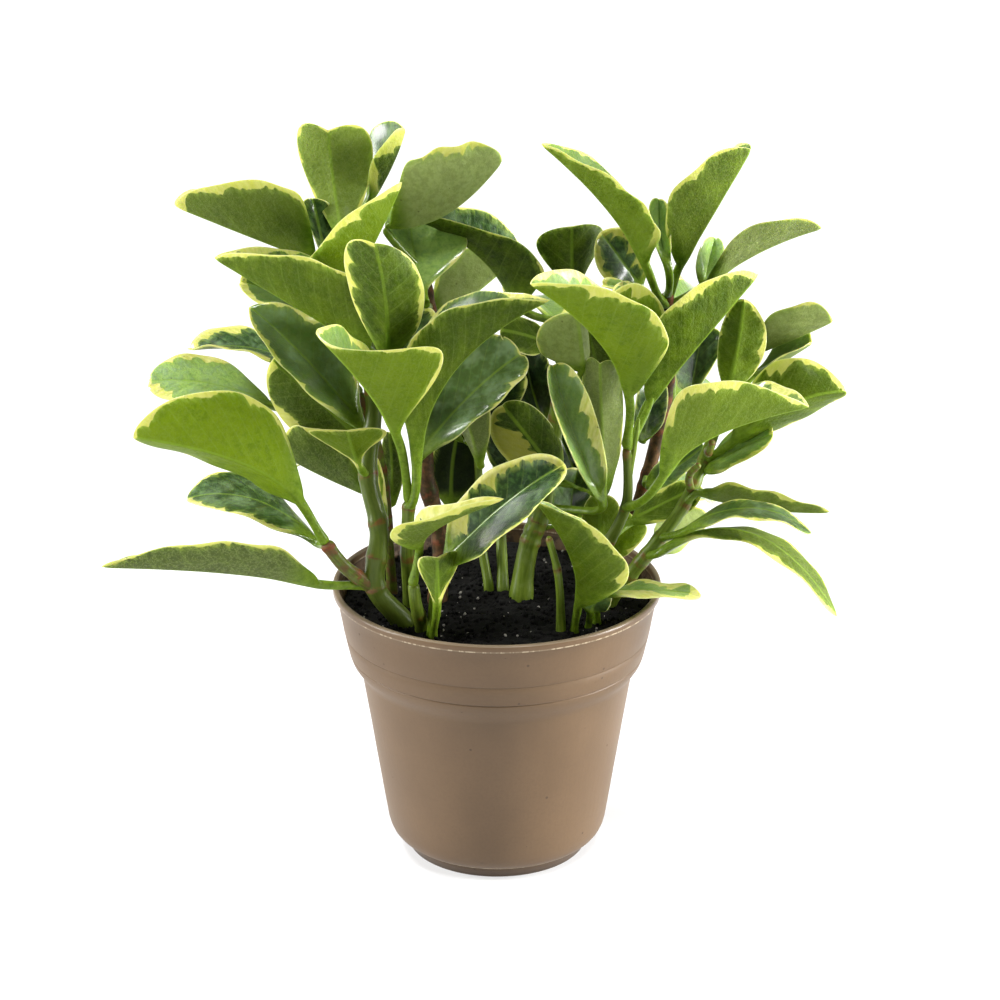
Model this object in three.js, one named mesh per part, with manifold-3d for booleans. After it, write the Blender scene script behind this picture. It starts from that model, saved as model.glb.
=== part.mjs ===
// A bushy variegated peperomia in its thin plastic nursery pot.
// Millimetres, +Z up. The origin is the centre of the pot's foot, on the surface that the pot stands on.
// The front of the plant, the side that the photograph shows, faces -Y.
import * as THREE from "three";
import Module from "manifold-3d";
import { mergeVertices } from "three/addons/utils/BufferGeometryUtils.js";

// The pot, a standard 12 cm one
const rimRadius = 60;
const potHeight = 103.8;
const wall = 1.1;
const lipDrop = 2.4;
const collarBottom = 78.2;
const bodyTop = 69;
const bodyTopRadius = 49.8;
const bodyFootRadius = 40.8;
const footRadius = 33;
const footHeight = 4;
const floorThickness = 1.6;
const potSides = 48;
const drainHoles = 6;
const drainRadius = 3.5;
const drainCircle = 25;
const drainSides = 10;

// The soil, filled to just under the rim
const soilLevel = 97;
const soilCrown = 2.5;
const clearance = 0.35;
const rootDepth = 7;

// The plant
const petioleRadius = 1.4;
const bladeThickness = 1.3;
const sectionSides = 8;
const petioleSteps = 3;
const bladeSteps = 6;
const stemSteps = 3;

// Where the photograph was taken from: its focal length in pixels, the camera's tilt and its place
const picture = { focal: 3000, middle: 500, tilt: THREE.MathUtils.degToRad(20.97) };
const eye = new THREE.Vector3(1.1, -1012.8, 523.56);
const forward = new THREE.Vector3(0, Math.cos(picture.tilt), -Math.sin(picture.tilt));
const upward = new THREE.Vector3(0, Math.sin(picture.tilt), Math.cos(picture.tilt));

const potPaint = new THREE.MeshStandardMaterial({ color: "#8a7560", roughness: 0.5, metalness: 0 });
const soilPaint = new THREE.MeshStandardMaterial({ color: "#1b1511", roughness: 1, metalness: 0 });
const stemPaint = new THREE.MeshStandardMaterial({ color: "#7c8f3e", roughness: 0.45, metalness: 0 });
const woodyPaint = new THREE.MeshStandardMaterial({ color: "#4a3526", roughness: 0.6, metalness: 0 });
const leafPaint = new THREE.MeshStandardMaterial({ color: "#5d7f2c", roughness: 0.35, metalness: 0 });

// The line of sight through a picture point.
function sight(across, down) {
  return forward
    .clone()
    .addScaledVector(new THREE.Vector3(1, 0, 0), (across - picture.middle) / picture.focal)
    .addScaledVector(upward, (picture.middle - down) / picture.focal);
}

// A place on the plant: a picture point and its depth in millimetres behind the pot's axis.
function at([across, down, depth]) {
  const line = sight(across, down);
  return line.multiplyScalar((depth - eye.y) / line.y).add(eye);
}

// Where a stem that the picture shows at this point comes out of the soil.
function onSoil([across, down]) {
  const line = sight(across, down);
  return line.multiplyScalar((soilLevel - eye.z) / line.z).add(eye);
}

const wasm = await Module();
wasm.setup();

function solidOf(geometry) {
  const bare = geometry.clone();
  bare.deleteAttribute("normal");
  bare.deleteAttribute("uv");
  const merged = mergeVertices(bare, 1e-4);
  return new wasm.Manifold(
    new wasm.Mesh({
      numProp: 3,
      vertProperties: merged.attributes.position.array,
      triVerts: new Uint32Array(merged.index.array),
    }),
  );
}

function geometryOf(solid) {
  const mesh = solid.getMesh();
  return new THREE.BufferGeometry()
    .setAttribute("position", new THREE.BufferAttribute(mesh.vertProperties, mesh.numProp))
    .setIndex(new THREE.BufferAttribute(mesh.triVerts, 1));
}

function lathe(profile, sides) {
  const points = profile.map(([radius, height]) => new THREE.Vector2(radius, height));
  return new THREE.LatheGeometry(points, sides).rotateX(Math.PI / 2);
}

// The pot's outer side from the foot to the rim, as [radius, height]
const outerSide = [
  [footRadius, 0],
  [footRadius + 1.8, footHeight],
  [35.6, footHeight],
  [38, footHeight + 1.4],
  [39.6, footHeight + 3.8],
  [bodyFootRadius, 11],
  [bodyTopRadius, bodyTop],
  [51, bodyTop + 2.4],
  [53.6, collarBottom - 2.4],
  [54.4, collarBottom],
  [56.1, 86.2],
  [57.2, 92],
  [58.8, potHeight - lipDrop - 0.4],
  [rimRadius, potHeight - lipDrop],
  [rimRadius, potHeight - 0.5],
  [rimRadius - 0.5, potHeight],
];

// The same wall from the inside, moved in by the wall's thickness
const innerSide = outerSide
  .slice(3, -3)
  .map(([radius, height]) => [radius - wall, height]);

function makePot() {
  const profile = [
    [0, 0],
    ...outerSide,
    [rimRadius - 2, potHeight],
    ...innerSide.slice().reverse(),
    [footRadius, floorThickness],
    [0, floorThickness],
  ];
  let pot = solidOf(lathe(profile, potSides));
  for (let i = 0; i < drainHoles; i++) {
    const turn = ((i + 0.5) / drainHoles) * 2 * Math.PI;
    const drill = new THREE.CylinderGeometry(drainRadius, drainRadius, 4 * floorThickness, drainSides);
    drill.rotateX(Math.PI / 2).translate(drainCircle * Math.cos(turn), drainCircle * Math.sin(turn), 0);
    pot = pot.subtract(solidOf(drill));
  }
  return geometryOf(pot);
}

// The inside radius of the pot's wall at a height.
function insideRadius(height) {
  const above = innerSide.findIndex((point) => point[1] >= height);
  const [[lowRadius, low], [highRadius, high]] = innerSide.slice(above - 1, above + 1);
  return THREE.MathUtils.mapLinear(height, low, high, lowRadius, highRadius);
}

function makeSoil(wells) {
  const bed = innerSide
    .filter(([, height]) => height < soilLevel - soilCrown - 1)
    .map(([radius, height]) => [radius - clearance, height + clearance]);
  const soilRadius = insideRadius(soilLevel - soilCrown) - clearance;
  const profile = [
    [0, floorThickness + clearance],
    [footRadius, floorThickness + clearance],
    ...bed,
    [soilRadius, soilLevel - soilCrown],
    [soilRadius - 1, soilLevel],
    [0, soilLevel],
  ];
  let soil = solidOf(lathe(profile, potSides));
  for (const well of wells) soil = soil.subtract(solidOf(well));
  return geometryOf(soil);
}

// A cylinder bent along a path: place(station, across, through) gives each point of its skin from
// the share of the way along and the two coordinates of a unit circle.
function limb(steps, place) {
  const geometry = new THREE.CylinderGeometry(1, 1, 1, sectionSides, steps);
  const position = geometry.attributes.position;
  for (let i = 0; i < position.count; i++) {
    const point = place(0.5 - position.getY(i), position.getX(i), position.getZ(i));
    position.setXYZ(i, point.x, point.y, point.z);
  }
  return geometry;
}

// Two directions square to a path's own, the first of them as near as it can be to the wish.
function squareTo(along, wish) {
  const side = wish.clone().addScaledVector(along, -along.dot(wish)).normalize();
  return [side, new THREE.Vector3().crossVectors(along, side)];
}

// The stems, from the soil or from another stem. A point is [across, down, depth]: a picture point
// in pixels, and how far behind the pot's axis it lies, in millimetres.
const stems = {
  stem_left: {
    radius: [3.5, 2.3],
    soil: [402, 622],
    through: [
      [376, 588, -24],
      [379, 531, -20],
      [368, 475, -12],
      [374, 405, -4],
      [366, 345, 2],
      [350, 290, 8],
    ],
  },
  stem_side: {
    radius: [1.9, 1.7],
    from: ["stem_left", 0.2],
    through: [[345, 567, -27], [324, 541, -28]],
  },
  stem_brown: {
    radius: [2, 1.6],
    soil: [392, 592],
    through: [[384, 530, 4], [378, 470, 8], [366, 425, 14], [352, 385, 20]],
  },
  stem_front: {
    radius: [2.2, 2],
    soil: [410, 604],
    through: [[407, 550, -20], [409, 500, -24]],
  },
  stem_small: {
    radius: [2.2, 1.8],
    soil: [422, 628],
    through: [[416, 605, -36], [413, 582, -38]],
  },
  stem_dark: {
    radius: [3.6, 2.4],
    soil: [438, 598],
    through: [[441, 540, 2], [426, 475, 6], [428, 405, 10], [432, 340, 14], [424, 275, 18]],
  },
  stem_centre: {
    radius: [4.4, 2.6],
    soil: [521, 596],
    through: [[528, 549, 6], [541, 510, 8], [551, 450, 12], [562, 390, 18], [572, 325, 24]],
  },
  stem_slim: {
    radius: [2.1, 1.8],
    soil: [503, 589],
    through: [[501, 537, 22], [498, 485, 26], [496, 430, 32]],
  },
  stem_right: {
    radius: [2.8, 2],
    soil: [592, 590],
    through: [[606, 548, -6], [626, 506, -12], [627, 445, -16]],
  },
  stem_rear: {
    radius: [2.9, 2.1],
    soil: [611, 575],
    through: [[640, 500, 22], [655, 447, 24], [668, 380, 20], [669, 330, 14], [667, 292, 10]],
  },
  stem_outer: {
    radius: [3, 2],
    soil: [607, 606],
    through: [[630, 575, -10], [652, 548, -12], [684, 505, -6], [704, 460, 2], [722, 410, 6]],
  },
};

// The leaves: what each one grows from, and at which share of that stem's length or at which picture
// point of the soil; the base, middle and tip of its midrib; the widest place of the margin that the
// picture shows, and the face seen there; the angle between the blade's halves, or the widest place of
// the other margin; the share of the blade at which it is widest; and how blunt its tip is, low for round.
const leaves = {
  leaf_left_1: {
    from: ["stem_left", 0.97],
    midrib: [[314, 258, 6], [262, 240, 2], [175, 206, -4]],
    edge: [285, 184, -10],
    seen: "under",
    open: 100,
    widest: 0.36,
    blunt: 0.65,
  },
  leaf_left_2: {
    from: ["stem_left", 0.72],
    midrib: [[368, 345, -12], [299, 310, -16], [214, 257, -18]],
    edge: [345, 271, -28],
    seen: "under",
    open: 115,
    widest: 0.45,
    blunt: 0.6,
  },
  leaf_left_3: {
    from: ["stem_left", 1],
    midrib: [[342, 240, 8], [334, 185, 12], [328, 129, 10]],
    edge: [373, 146, 17],
    seen: "under",
    farEdge: [297, 143, 17],
    widest: 0.68,
    blunt: 0.4,
  },
  leaf_left_4: {
    from: ["stem_left", 0.93],
    midrib: [[368, 200, 26], [384, 165, 24], [403, 131, 22]],
    edge: [402, 152, 20],
    seen: "under",
    farEdge: [374, 142, 36],
    widest: 0.6,
    blunt: 0.6,
  },
  leaf_dark_1: {
    from: ["stem_dark", 1],
    midrib: [[391, 224, 14], [446, 213, 12], [502, 161, 6]],
    edge: [424, 152, 2],
    seen: "under",
    farEdge: [432, 158, 26],
    widest: 0.4,
    blunt: 0.6,
  },
  leaf_left_5: {
    from: ["stem_left", 0.9],
    midrib: [[352, 270, -4], [375, 240, -9], [401, 184, -7]],
    edge: [334, 232, -21],
    seen: "under",
    open: 100,
    widest: 0.45,
    blunt: 0.8,
  },
  leaf_left_6: {
    from: ["stem_left", 0.7],
    midrib: [[388, 358, -26], [386, 300, -36], [374, 243, -38]],
    edge: [424, 288, -30],
    seen: "under",
    farEdge: [345, 270, -30],
    widest: 0.6,
    blunt: 0.45,
  },
  leaf_dark_2: {
    from: ["stem_dark", 0.9],
    midrib: [[424, 299, 12], [412, 255, 10], [391, 214, 6]],
    edge: [465, 243, 0],
    seen: "top",
    open: 140,
    widest: 0.6,
    blunt: 0.6,
  },
  leaf_centre_1: {
    from: ["stem_centre", 1],
    midrib: [[517, 302, 28], [470, 247, 28], [401, 215, 22]],
    edge: [540, 258, 18],
    seen: "under",
    farEdge: [512, 228, 38],
    widest: 0.32,
    blunt: 0.75,
  },
  leaf_dark_3: {
    from: ["stem_dark", 0.8],
    midrib: [[432, 322, 30], [466, 299, 36], [503, 270, 40]],
    edge: [452, 256, 40],
    seen: "under",
    farEdge: [458, 262, 52],
    widest: 0.5,
    blunt: 0.5,
  },
  leaf_left_7: {
    from: ["stem_left", 0.6],
    midrib: [[361, 426, -2], [306, 360, 2], [249, 307, 6]],
    edge: [290, 374, -12],
    seen: "top",
    open: 140,
    widest: 0.5,
    blunt: 0.7,
  },
  leaf_brown_1: {
    from: ["stem_brown", 0.97],
    midrib: [[312, 376, 44], [258, 350, 50], [190, 350, 50]],
    edge: [246, 326, 62],
    seen: "top",
    open: 145,
    widest: 0.5,
    blunt: 0.55,
  },
  leaf_brown_2: {
    from: ["stem_brown", 0.9],
    midrib: [[305, 400, 26], [228, 383, 18], [148, 388, 8]],
    edge: [212, 405, 2],
    seen: "top",
    open: 165,
    widest: 0.55,
    blunt: 0.5,
  },
  leaf_side_1: {
    from: ["stem_side", 1],
    midrib: [[299, 500, -30], [240, 461, -36], [133, 437, -38]],
    edge: [252, 396, -30],
    seen: "under",
    farEdge: [234, 472, -20],
    widest: 0.42,
    blunt: 0.6,
  },
  leaf_brown_3: {
    from: ["stem_brown", 0.8],
    midrib: [[355, 430, 15], [315, 410, 12], [272, 368, 12]],
    edge: [318, 374, 8],
    seen: "under",
    open: 115,
    widest: 0.5,
    blunt: 0.6,
  },
  leaf_left_8: {
    from: ["stem_left", 0.5],
    midrib: [[362, 470, -18], [354, 452, -24], [347, 430, -30]],
    edge: [387, 430, -26],
    seen: "under",
    farEdge: [308, 432, -28],
    widest: 0.85,
    blunt: 0.5,
  },
  leaf_front_1: {
    from: ["stem_front", 1],
    midrib: [[394, 442, -32], [386, 400, -40], [380, 350, -52]],
    edge: [441, 352, -46],
    seen: "under",
    farEdge: [320, 336, -44],
    widest: 0.85,
    blunt: 0.5,
  },
  leaf_front_2: {
    from: ["stem_front", 0.93],
    midrib: [[416, 468, -28], [452, 372, -32], [550, 300, -28]],
    edge: [411, 338, -36],
    seen: "under",
    farEdge: [428, 320, -12],
    widest: 0.42,
    blunt: 1,
  },
  leaf_dark_4: {
    from: ["stem_dark", 0.5],
    midrib: [[418, 458, -8], [466, 400, 0], [521, 354, 6]],
    edge: [505, 396, -8],
    seen: "top",
    farEdge: [462, 346, 12],
    widest: 0.6,
    blunt: 0.55,
  },
  leaf_soil_1: {
    soil: [432, 634],
    midrib: [[446, 564, -38], [500, 509, -44], [565, 464, -46]],
    edge: [478, 478, -40],
    seen: "top",
    farEdge: [512, 528, -62],
    widest: 0.5,
    blunt: 0.5,
  },
  leaf_small_1: {
    from: ["stem_small", 1],
    midrib: [[419, 546, -44], [440, 525, -52], [504, 499, -60]],
    edge: [391, 531, -56],
    seen: "under",
    farEdge: [414, 514, -46],
    widest: 0.3,
    blunt: 0.7,
  },
  leaf_side_2: {
    from: ["stem_side", 0.9],
    midrib: [[314, 540, -20], [254, 500, -12], [187, 499, -6]],
    edge: [246, 474, 6],
    seen: "top",
    farEdge: [242, 516, -26],
    widest: 0.5,
    blunt: 0.6,
  },
  leaf_left_9: {
    from: ["stem_left", 0.17],
    midrib: [[316, 583, -30], [222, 571, -40], [101, 567, -48]],
    edge: [250, 541, -46],
    seen: "under",
    farEdge: [242, 547, -20],
    widest: 0.42,
    blunt: 0.7,
  },
  leaf_centre_2: {
    from: ["stem_centre", 0.4],
    midrib: [[602, 500, -14], [576, 440, -16], [553, 365, -14]],
    edge: [594, 410, -22],
    seen: "top",
    farEdge: [557, 418, -24],
    widest: 0.6,
    blunt: 0.45,
  },
  leaf_centre_3: {
    from: ["stem_centre", 0.5],
    midrib: [[606, 490, 0], [604, 430, 2], [602, 364, 4]],
    edge: [623, 400, 8],
    seen: "under",
    open: 120,
    widest: 0.6,
    blunt: 0.5,
  },
  leaf_centre_4: {
    from: ["stem_centre", 0.8],
    midrib: [[582, 370, 8], [580, 340, 4], [575, 312, 2]],
    edge: [536, 341, 8],
    seen: "under",
    farEdge: [588, 334, 10],
    widest: 0.5,
    blunt: 0.5,
  },
  leaf_centre_5: {
    from: ["stem_centre", 0.95],
    midrib: [[574, 298, 20], [572, 262, 18], [572, 226, 20]],
    edge: [604, 234, 28],
    seen: "under",
    farEdge: [536, 244, 28],
    widest: 0.8,
    blunt: 0.4,
  },
  leaf_soil_2: {
    soil: [574, 629],
    midrib: [[579, 604, -32], [571, 555, -40], [536, 502, -46]],
    edge: [628, 567, -48],
    seen: "under",
    farEdge: [602, 548, -24],
    widest: 0.38,
    blunt: 0.7,
  },
  leaf_soil_3: {
    soil: [597, 621],
    midrib: [[606, 594, -26], [650, 591, -32], [701, 596, -38]],
    edge: [652, 597, -42],
    seen: "top",
    farEdge: [655, 580, -22],
    widest: 0.5,
    blunt: 0.45,
  },
  leaf_right_1: {
    from: ["stem_right", 1],
    midrib: [[629, 394, -26], [597, 337, -36], [530, 284, -44]],
    edge: [662, 320, -44],
    seen: "under",
    farEdge: [606, 291, -18],
    widest: 0.4,
    blunt: 0.7,
  },
  leaf_right_2: {
    from: ["stem_right", 0.94],
    midrib: [[650, 400, -6], [697, 345, -10], [758, 275, -4]],
    edge: [663, 314, -16],
    seen: "under",
    open: 110,
    widest: 0.42,
    blunt: 0.65,
  },
  leaf_rear_1: {
    from: ["stem_rear", 0.93],
    midrib: [[645, 262, 0], [604, 203, -2], [541, 144, -6]],
    edge: [648, 209, -10],
    seen: "under",
    farEdge: [619, 181, 12],
    widest: 0.42,
    blunt: 0.8,
  },
  leaf_rear_2: {
    from: ["stem_rear", 0.96],
    midrib: [[680, 264, 11], [711, 215, 4], [751, 149, -2]],
    edge: [673, 190, -4],
    seen: "under",
    open: 100,
    widest: 0.5,
    blunt: 0.65,
  },
  leaf_rear_3: {
    from: ["stem_rear", 0.92],
    midrib: [[709, 281, 10], [760, 250, 6], [822, 228, 0]],
    edge: [750, 226, -4],
    seen: "under",
    farEdge: [757, 236, 16],
    widest: 0.45,
    blunt: 0.7,
  },
  leaf_outer_1: {
    from: ["stem_outer", 1],
    midrib: [[750, 352, 16], [792, 338, 10], [833, 321, 2]],
    edge: [790, 303, 0],
    seen: "under",
    farEdge: [794, 312, 18],
    widest: 0.55,
    blunt: 0.65,
  },
  leaf_outer_2: {
    from: ["stem_outer", 0.93],
    midrib: [[728, 392, 0], [738, 345, 1], [744, 299, -1]],
    edge: [766, 345, 3],
    seen: "under",
    farEdge: [719, 336, 4],
    widest: 0.55,
    blunt: 0.6,
  },
  leaf_outer_3: {
    from: ["stem_outer", 0.8],
    midrib: [[735, 440, -4], [788, 404, -12], [847, 391, -10]],
    edge: [776, 361, -2],
    seen: "under",
    farEdge: [806, 416, 0],
    widest: 0.45,
    blunt: 0.75,
  },
  leaf_right_3: {
    from: ["stem_right", 0.66],
    midrib: [[664, 474, -34], [714, 435, -38], [809, 407, -34]],
    edge: [686, 387, -46],
    seen: "under",
    farEdge: [736, 388, -22],
    widest: 0.38,
    blunt: 0.85,
  },
  leaf_rear_4: {
    from: ["stem_rear", 0.5],
    midrib: [[700, 395, 26], [698, 358, 26], [697, 326, 26]],
    edge: [724, 350, 20],
    seen: "top",
    farEdge: [682, 350, 20],
    widest: 0.6,
    blunt: 0.6,
  },
  leaf_outer_4: {
    from: ["stem_outer", 0.6],
    midrib: [[702, 492, -8], [762, 507, -12], [830, 512, -18]],
    edge: [745, 484, -16],
    seen: "under",
    farEdge: [752, 490, 4],
    widest: 0.4,
    blunt: 0.75,
  },
  leaf_outer_5: {
    from: ["stem_outer", 0.45],
    midrib: [[690, 528, -22], [752, 509, -31], [812, 533, -37]],
    edge: [750, 518, -43],
    seen: "top",
    farEdge: [750, 499, -23],
    widest: 0.5,
    blunt: 0.55,
  },
  leaf_outer_6: {
    from: ["stem_outer", 0.35],
    midrib: [[664, 552, -18], [755, 533, -24], [836, 616, -28]],
    edge: [760, 543, -33],
    seen: "top",
    open: 175,
    widest: 0.5,
    blunt: 0.8,
  },
  leaf_dark_5: {
    from: ["stem_dark", 0.7],
    midrib: [[410, 385, 30], [375, 372, 56], [335, 380, 84]],
    edge: [345, 372, 50],
    seen: "top",
    open: 140,
    widest: 0.55,
    blunt: 0.6,
  },
  leaf_dark_6: {
    from: ["stem_dark", 0.95],
    midrib: [[414, 292, 38], [412, 272, 60], [408, 268, 84]],
    edge: [380, 268, 62],
    seen: "top",
    open: 140,
    widest: 0.55,
    blunt: 0.6,
  },
  leaf_centre_6: {
    from: ["stem_centre", 0.6],
    midrib: [[560, 420, 36], [566, 398, 62], [570, 400, 90]],
    edge: [600, 395, 66],
    seen: "top",
    open: 140,
    widest: 0.55,
    blunt: 0.6,
  },
  leaf_slim_1: {
    from: ["stem_slim", 0.97],
    midrib: [[490, 408, 44], [478, 388, 62], [462, 380, 84]],
    edge: [506, 384, 70],
    seen: "top",
    open: 140,
    widest: 0.55,
    blunt: 0.6,
  },
  leaf_rear_5: {
    from: ["stem_rear", 0.6],
    midrib: [[678, 405, 46], [700, 390, 68], [726, 398, 92]],
    edge: [726, 398, 60],
    seen: "top",
    open: 140,
    widest: 0.55,
    blunt: 0.6,
  },
};

// How the blade widens along its length, 1 at the widest place and 0 at both ends.
function blade(share, { widest, blunt }) {
  const taper = (blunt * widest) / (1 - widest);
  return (share / widest) ** taper * ((1 - share) / (1 - widest)) ** blunt;
}

// The radius of a stem at a share of its way.
function thickness(radius, share) {
  return THREE.MathUtils.lerp(radius[0], radius[1], share);
}

// The point of a laid stem at a share of the part of it that is above the soil.
function centreOf(name, share) {
  const { route, buried } = laid[name];
  return route.getPoint(THREE.MathUtils.lerp(buried, 1, share));
}

// Where a branch or a petiole that heads for a goal starts: just clear of the stem's skin, or of the
// stem's end where the share is 1.
function seat(name, share, goal, radius) {
  const { route, buried, radius: carrierRadius } = laid[name];
  const centre = centreOf(name, share);
  const tangent = route.getTangent(THREE.MathUtils.lerp(buried, 1, share));
  const out = goal.clone().sub(centre);
  const skin = thickness(carrierRadius, share) + clearance;
  if (share < 1) {
    out.addScaledVector(tangent, -out.dot(tangent));
    return centre.addScaledVector(out.normalize(), skin + radius / 2);
  }
  const slope = out.angleTo(tangent);
  const overEnd = (clearance + petioleRadius * Math.sin(slope)) / Math.max(Math.cos(slope), 0.1);
  const pastSkin = (skin + petioleRadius * Math.cos(slope)) / Math.sin(slope);
  return centre.addScaledVector(out.normalize(), Math.min(overEnd, pastSkin));
}

// A stem's route, and the share of it that lies in the soil.
function layStem(stem) {
  const through = stem.through.map(at);
  if (!stem.soil) {
    const start = seat(...stem.from, through[0], stem.radius[0]);
    return { route: new THREE.CatmullRomCurve3([start, ...through]), buried: 0, radius: stem.radius };
  }
  const foot = onSoil(stem.soil);
  const root = foot.clone().setZ(soilLevel - rootDepth);
  const route = new THREE.CatmullRomCurve3([root, foot, ...through]);
  return { route, buried: 1 / (through.length + 1), radius: stem.radius };
}

const laid = {};
for (const [name, stem] of Object.entries(stems)) laid[name] = layStem(stem);

function makeStem({ route, radius }) {
  const wish = new THREE.Vector3(1, 0, 0);
  return limb((route.points.length - 1) * stemSteps, (station, across, through) => {
    const [side, other] = squareTo(route.getTangent(station), wish);
    const size = thickness(radius, station);
    const point = route.getPoint(station).addScaledVector(side, across * size);
    return point.addScaledVector(other, through * size);
  });
}

// The hole in the soil that a stem stands in.
function makeWell({ route, radius }) {
  const spans = route.points.length - 1;
  const wish = new THREE.Vector3(1, 0, 0);
  return limb(2 * stemSteps, (station, across, through) => {
    const share = (station * 2) / spans;
    const tangent = route.getTangent(share);
    const [side, other] = squareTo(tangent, wish);
    const size = thickness(radius, share) + clearance / Math.cos(Math.PI / sectionSides);
    const point = route.getPoint(share).addScaledVector(side, across * size);
    point.addScaledVector(other, through * size);
    return station === 0 ? point.addScaledVector(tangent, -clearance) : point;
  });
}

// The two halves of a blade, as what each adds to the midrib at the blade's widest place. The near half
// reaches the edge that shows, and the far half mirrors it or reaches an edge of its own.
function halves(leaf, midrib) {
  const widestPlace = midrib.getPoint(leaf.widest);
  const near = at(leaf.edge).sub(widestPlace);
  if (leaf.farEdge) return [near, at(leaf.farEdge).sub(widestPlace)];
  const axis = midrib.v2.clone().sub(midrib.v0).normalize();
  const [outward, upper] = squareTo(axis, near);
  const facesEye = upper.dot(eye.clone().sub(at(leaf.edge))) > 0;
  if (facesEye !== (leaf.seen === "top")) upper.negate();
  const turn = THREE.MathUtils.degToRad(leaf.open);
  const reach = near.dot(outward);
  const far = axis.clone().multiplyScalar(near.dot(axis));
  far.addScaledVector(outward, reach * Math.cos(turn)).addScaledVector(upper, reach * Math.sin(turn));
  return [near, far];
}

// The stalk of a leaf: it leaves the stem or the soil square to it and runs into the midrib.
function layPetiole(leaf, midrib) {
  const base = midrib.v0;
  const start = leaf.soil ? onSoil(leaf.soil) : seat(...leaf.from, base, 0);
  if (leaf.soil) start.z += clearance;
  const out = leaf.soil ? new THREE.Vector3(0, 0, 1) : start.clone().sub(centreOf(...leaf.from)).normalize();
  const bend = start.distanceTo(base) / 3;
  const leaving = start.clone().addScaledVector(out, bend);
  const arriving = base.clone().addScaledVector(midrib.getTangent(0), -bend);
  return new THREE.CubicBezierCurve3(start, leaving, arriving, base);
}

function makeLeaf(leaf) {
  const [base, middle, tip] = leaf.midrib.map(at);
  const pull = middle.multiplyScalar(2).addScaledVector(base, -0.5).addScaledVector(tip, -0.5);
  const midrib = new THREE.QuadraticBezierCurve3(base, pull, tip);
  const petiole = layPetiole(leaf, midrib);
  const [near, far] = halves(leaf, midrib);
  const across = near.clone().sub(far);
  const stalk = petioleSteps / (petioleSteps + bladeSteps);
  return limb(petioleSteps + bladeSteps, (station, sideways, through) => {
    const onBlade = station > stalk;
    const share = onBlade ? (station - stalk) / (1 - stalk) : station / stalk;
    const curve = onBlade ? midrib : petiole;
    const [side, other] = squareTo(curve.getTangent(share), across);
    const width = onBlade ? blade(share, leaf) : 0;
    const rib = THREE.MathUtils.lerp(petioleRadius, bladeThickness / 2, onBlade ? share : 0);
    return curve
      .getPoint(share)
      .addScaledVector(sideways > 0 ? near : far, Math.abs(sideways) * width)
      .addScaledVector(side, sideways * rib)
      .addScaledVector(other, through * rib);
  });
}

const plant = new THREE.Group();

function add(name, geometry, material) {
  const mesh = new THREE.Mesh(geometry, material);
  mesh.name = name;
  plant.add(mesh);
}

add("pot", makePot(), potPaint);
const planted = Object.values(laid).filter((stem) => stem.buried > 0);
add("soil", makeSoil(planted.map(makeWell)), soilPaint);
for (const [name, stem] of Object.entries(laid)) {
  add(name, makeStem(stem), name === "stem_dark" || name === "stem_rear" ? woodyPaint : stemPaint);
}
for (const [name, leaf] of Object.entries(leaves)) add(name, makeLeaf(leaf), leafPaint);

export default plant;
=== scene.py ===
import math
import random

import bmesh
import bpy
from mathutils import Matrix, Vector, noise


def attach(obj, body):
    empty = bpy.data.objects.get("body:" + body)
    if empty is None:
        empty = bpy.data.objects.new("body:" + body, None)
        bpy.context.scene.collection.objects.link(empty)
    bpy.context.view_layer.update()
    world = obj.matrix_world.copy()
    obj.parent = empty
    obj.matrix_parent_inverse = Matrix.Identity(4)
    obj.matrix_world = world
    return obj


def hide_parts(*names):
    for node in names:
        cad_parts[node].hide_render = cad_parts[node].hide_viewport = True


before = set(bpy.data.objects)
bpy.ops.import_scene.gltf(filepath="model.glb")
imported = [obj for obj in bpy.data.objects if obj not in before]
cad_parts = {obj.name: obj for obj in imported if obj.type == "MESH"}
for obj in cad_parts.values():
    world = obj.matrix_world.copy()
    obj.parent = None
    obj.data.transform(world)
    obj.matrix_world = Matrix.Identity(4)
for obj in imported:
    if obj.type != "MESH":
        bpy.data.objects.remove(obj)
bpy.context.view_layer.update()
mm = 0.001
up = Vector((0, 0, 1))

# The camera stands where the photograph was taken; its picture is 1000 pixels wide
picture = {
    "focal": 3000,  # pixels
    "middle": 500,
    "lens": 108,  # mm
    "sensor": 36,  # mm wide
    "farthest": 200,  # metres that the camera can see
    "tilt": math.radians(20.97),
    "eye": Vector((1.1, -1012.8, 523.56)) * mm,
}

cameraData = bpy.data.cameras.new("camera")
cameraData.lens = picture["lens"]
cameraData.sensor_width = picture["sensor"]
cameraData.clip_end = picture["farthest"]
camera = bpy.data.objects.new("camera", cameraData)
camera.location = picture["eye"]
camera.rotation_euler = (math.pi / 2 - picture["tilt"], 0, 0)
bpy.context.scene.collection.objects.link(camera)
bpy.context.scene.camera = camera
print("camera placed")


def sight(across, down):  # the line of sight through a picture point, a metre along the pot's depth
    forward = Vector((0, math.cos(picture["tilt"]), -math.sin(picture["tilt"])))
    above = Vector((0, math.sin(picture["tilt"]), math.cos(picture["tilt"])))
    right = Vector((1, 0, 0))
    middle, focal = picture["middle"], picture["focal"]
    return forward + right * ((across - middle) / focal) + above * ((middle - down) / focal)


def at(point):  # a picture point and its depth in mm behind the pot's axis
    line = sight(point[0], point[1])
    return picture["eye"] + line * ((point[2] * mm - picture["eye"].y) / line.y)


def onSoil(point):
    line = sight(*point)
    return picture["eye"] + line * ((soilBed["level"] - picture["eye"].z) / line.z)


def smooth(low, high, value):
    share = min(max((value - low) / (high - low), 0), 1)
    return share * share * (3 - 2 * share)


def mix(low, high, share):
    return low + (high - low) * share


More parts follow.
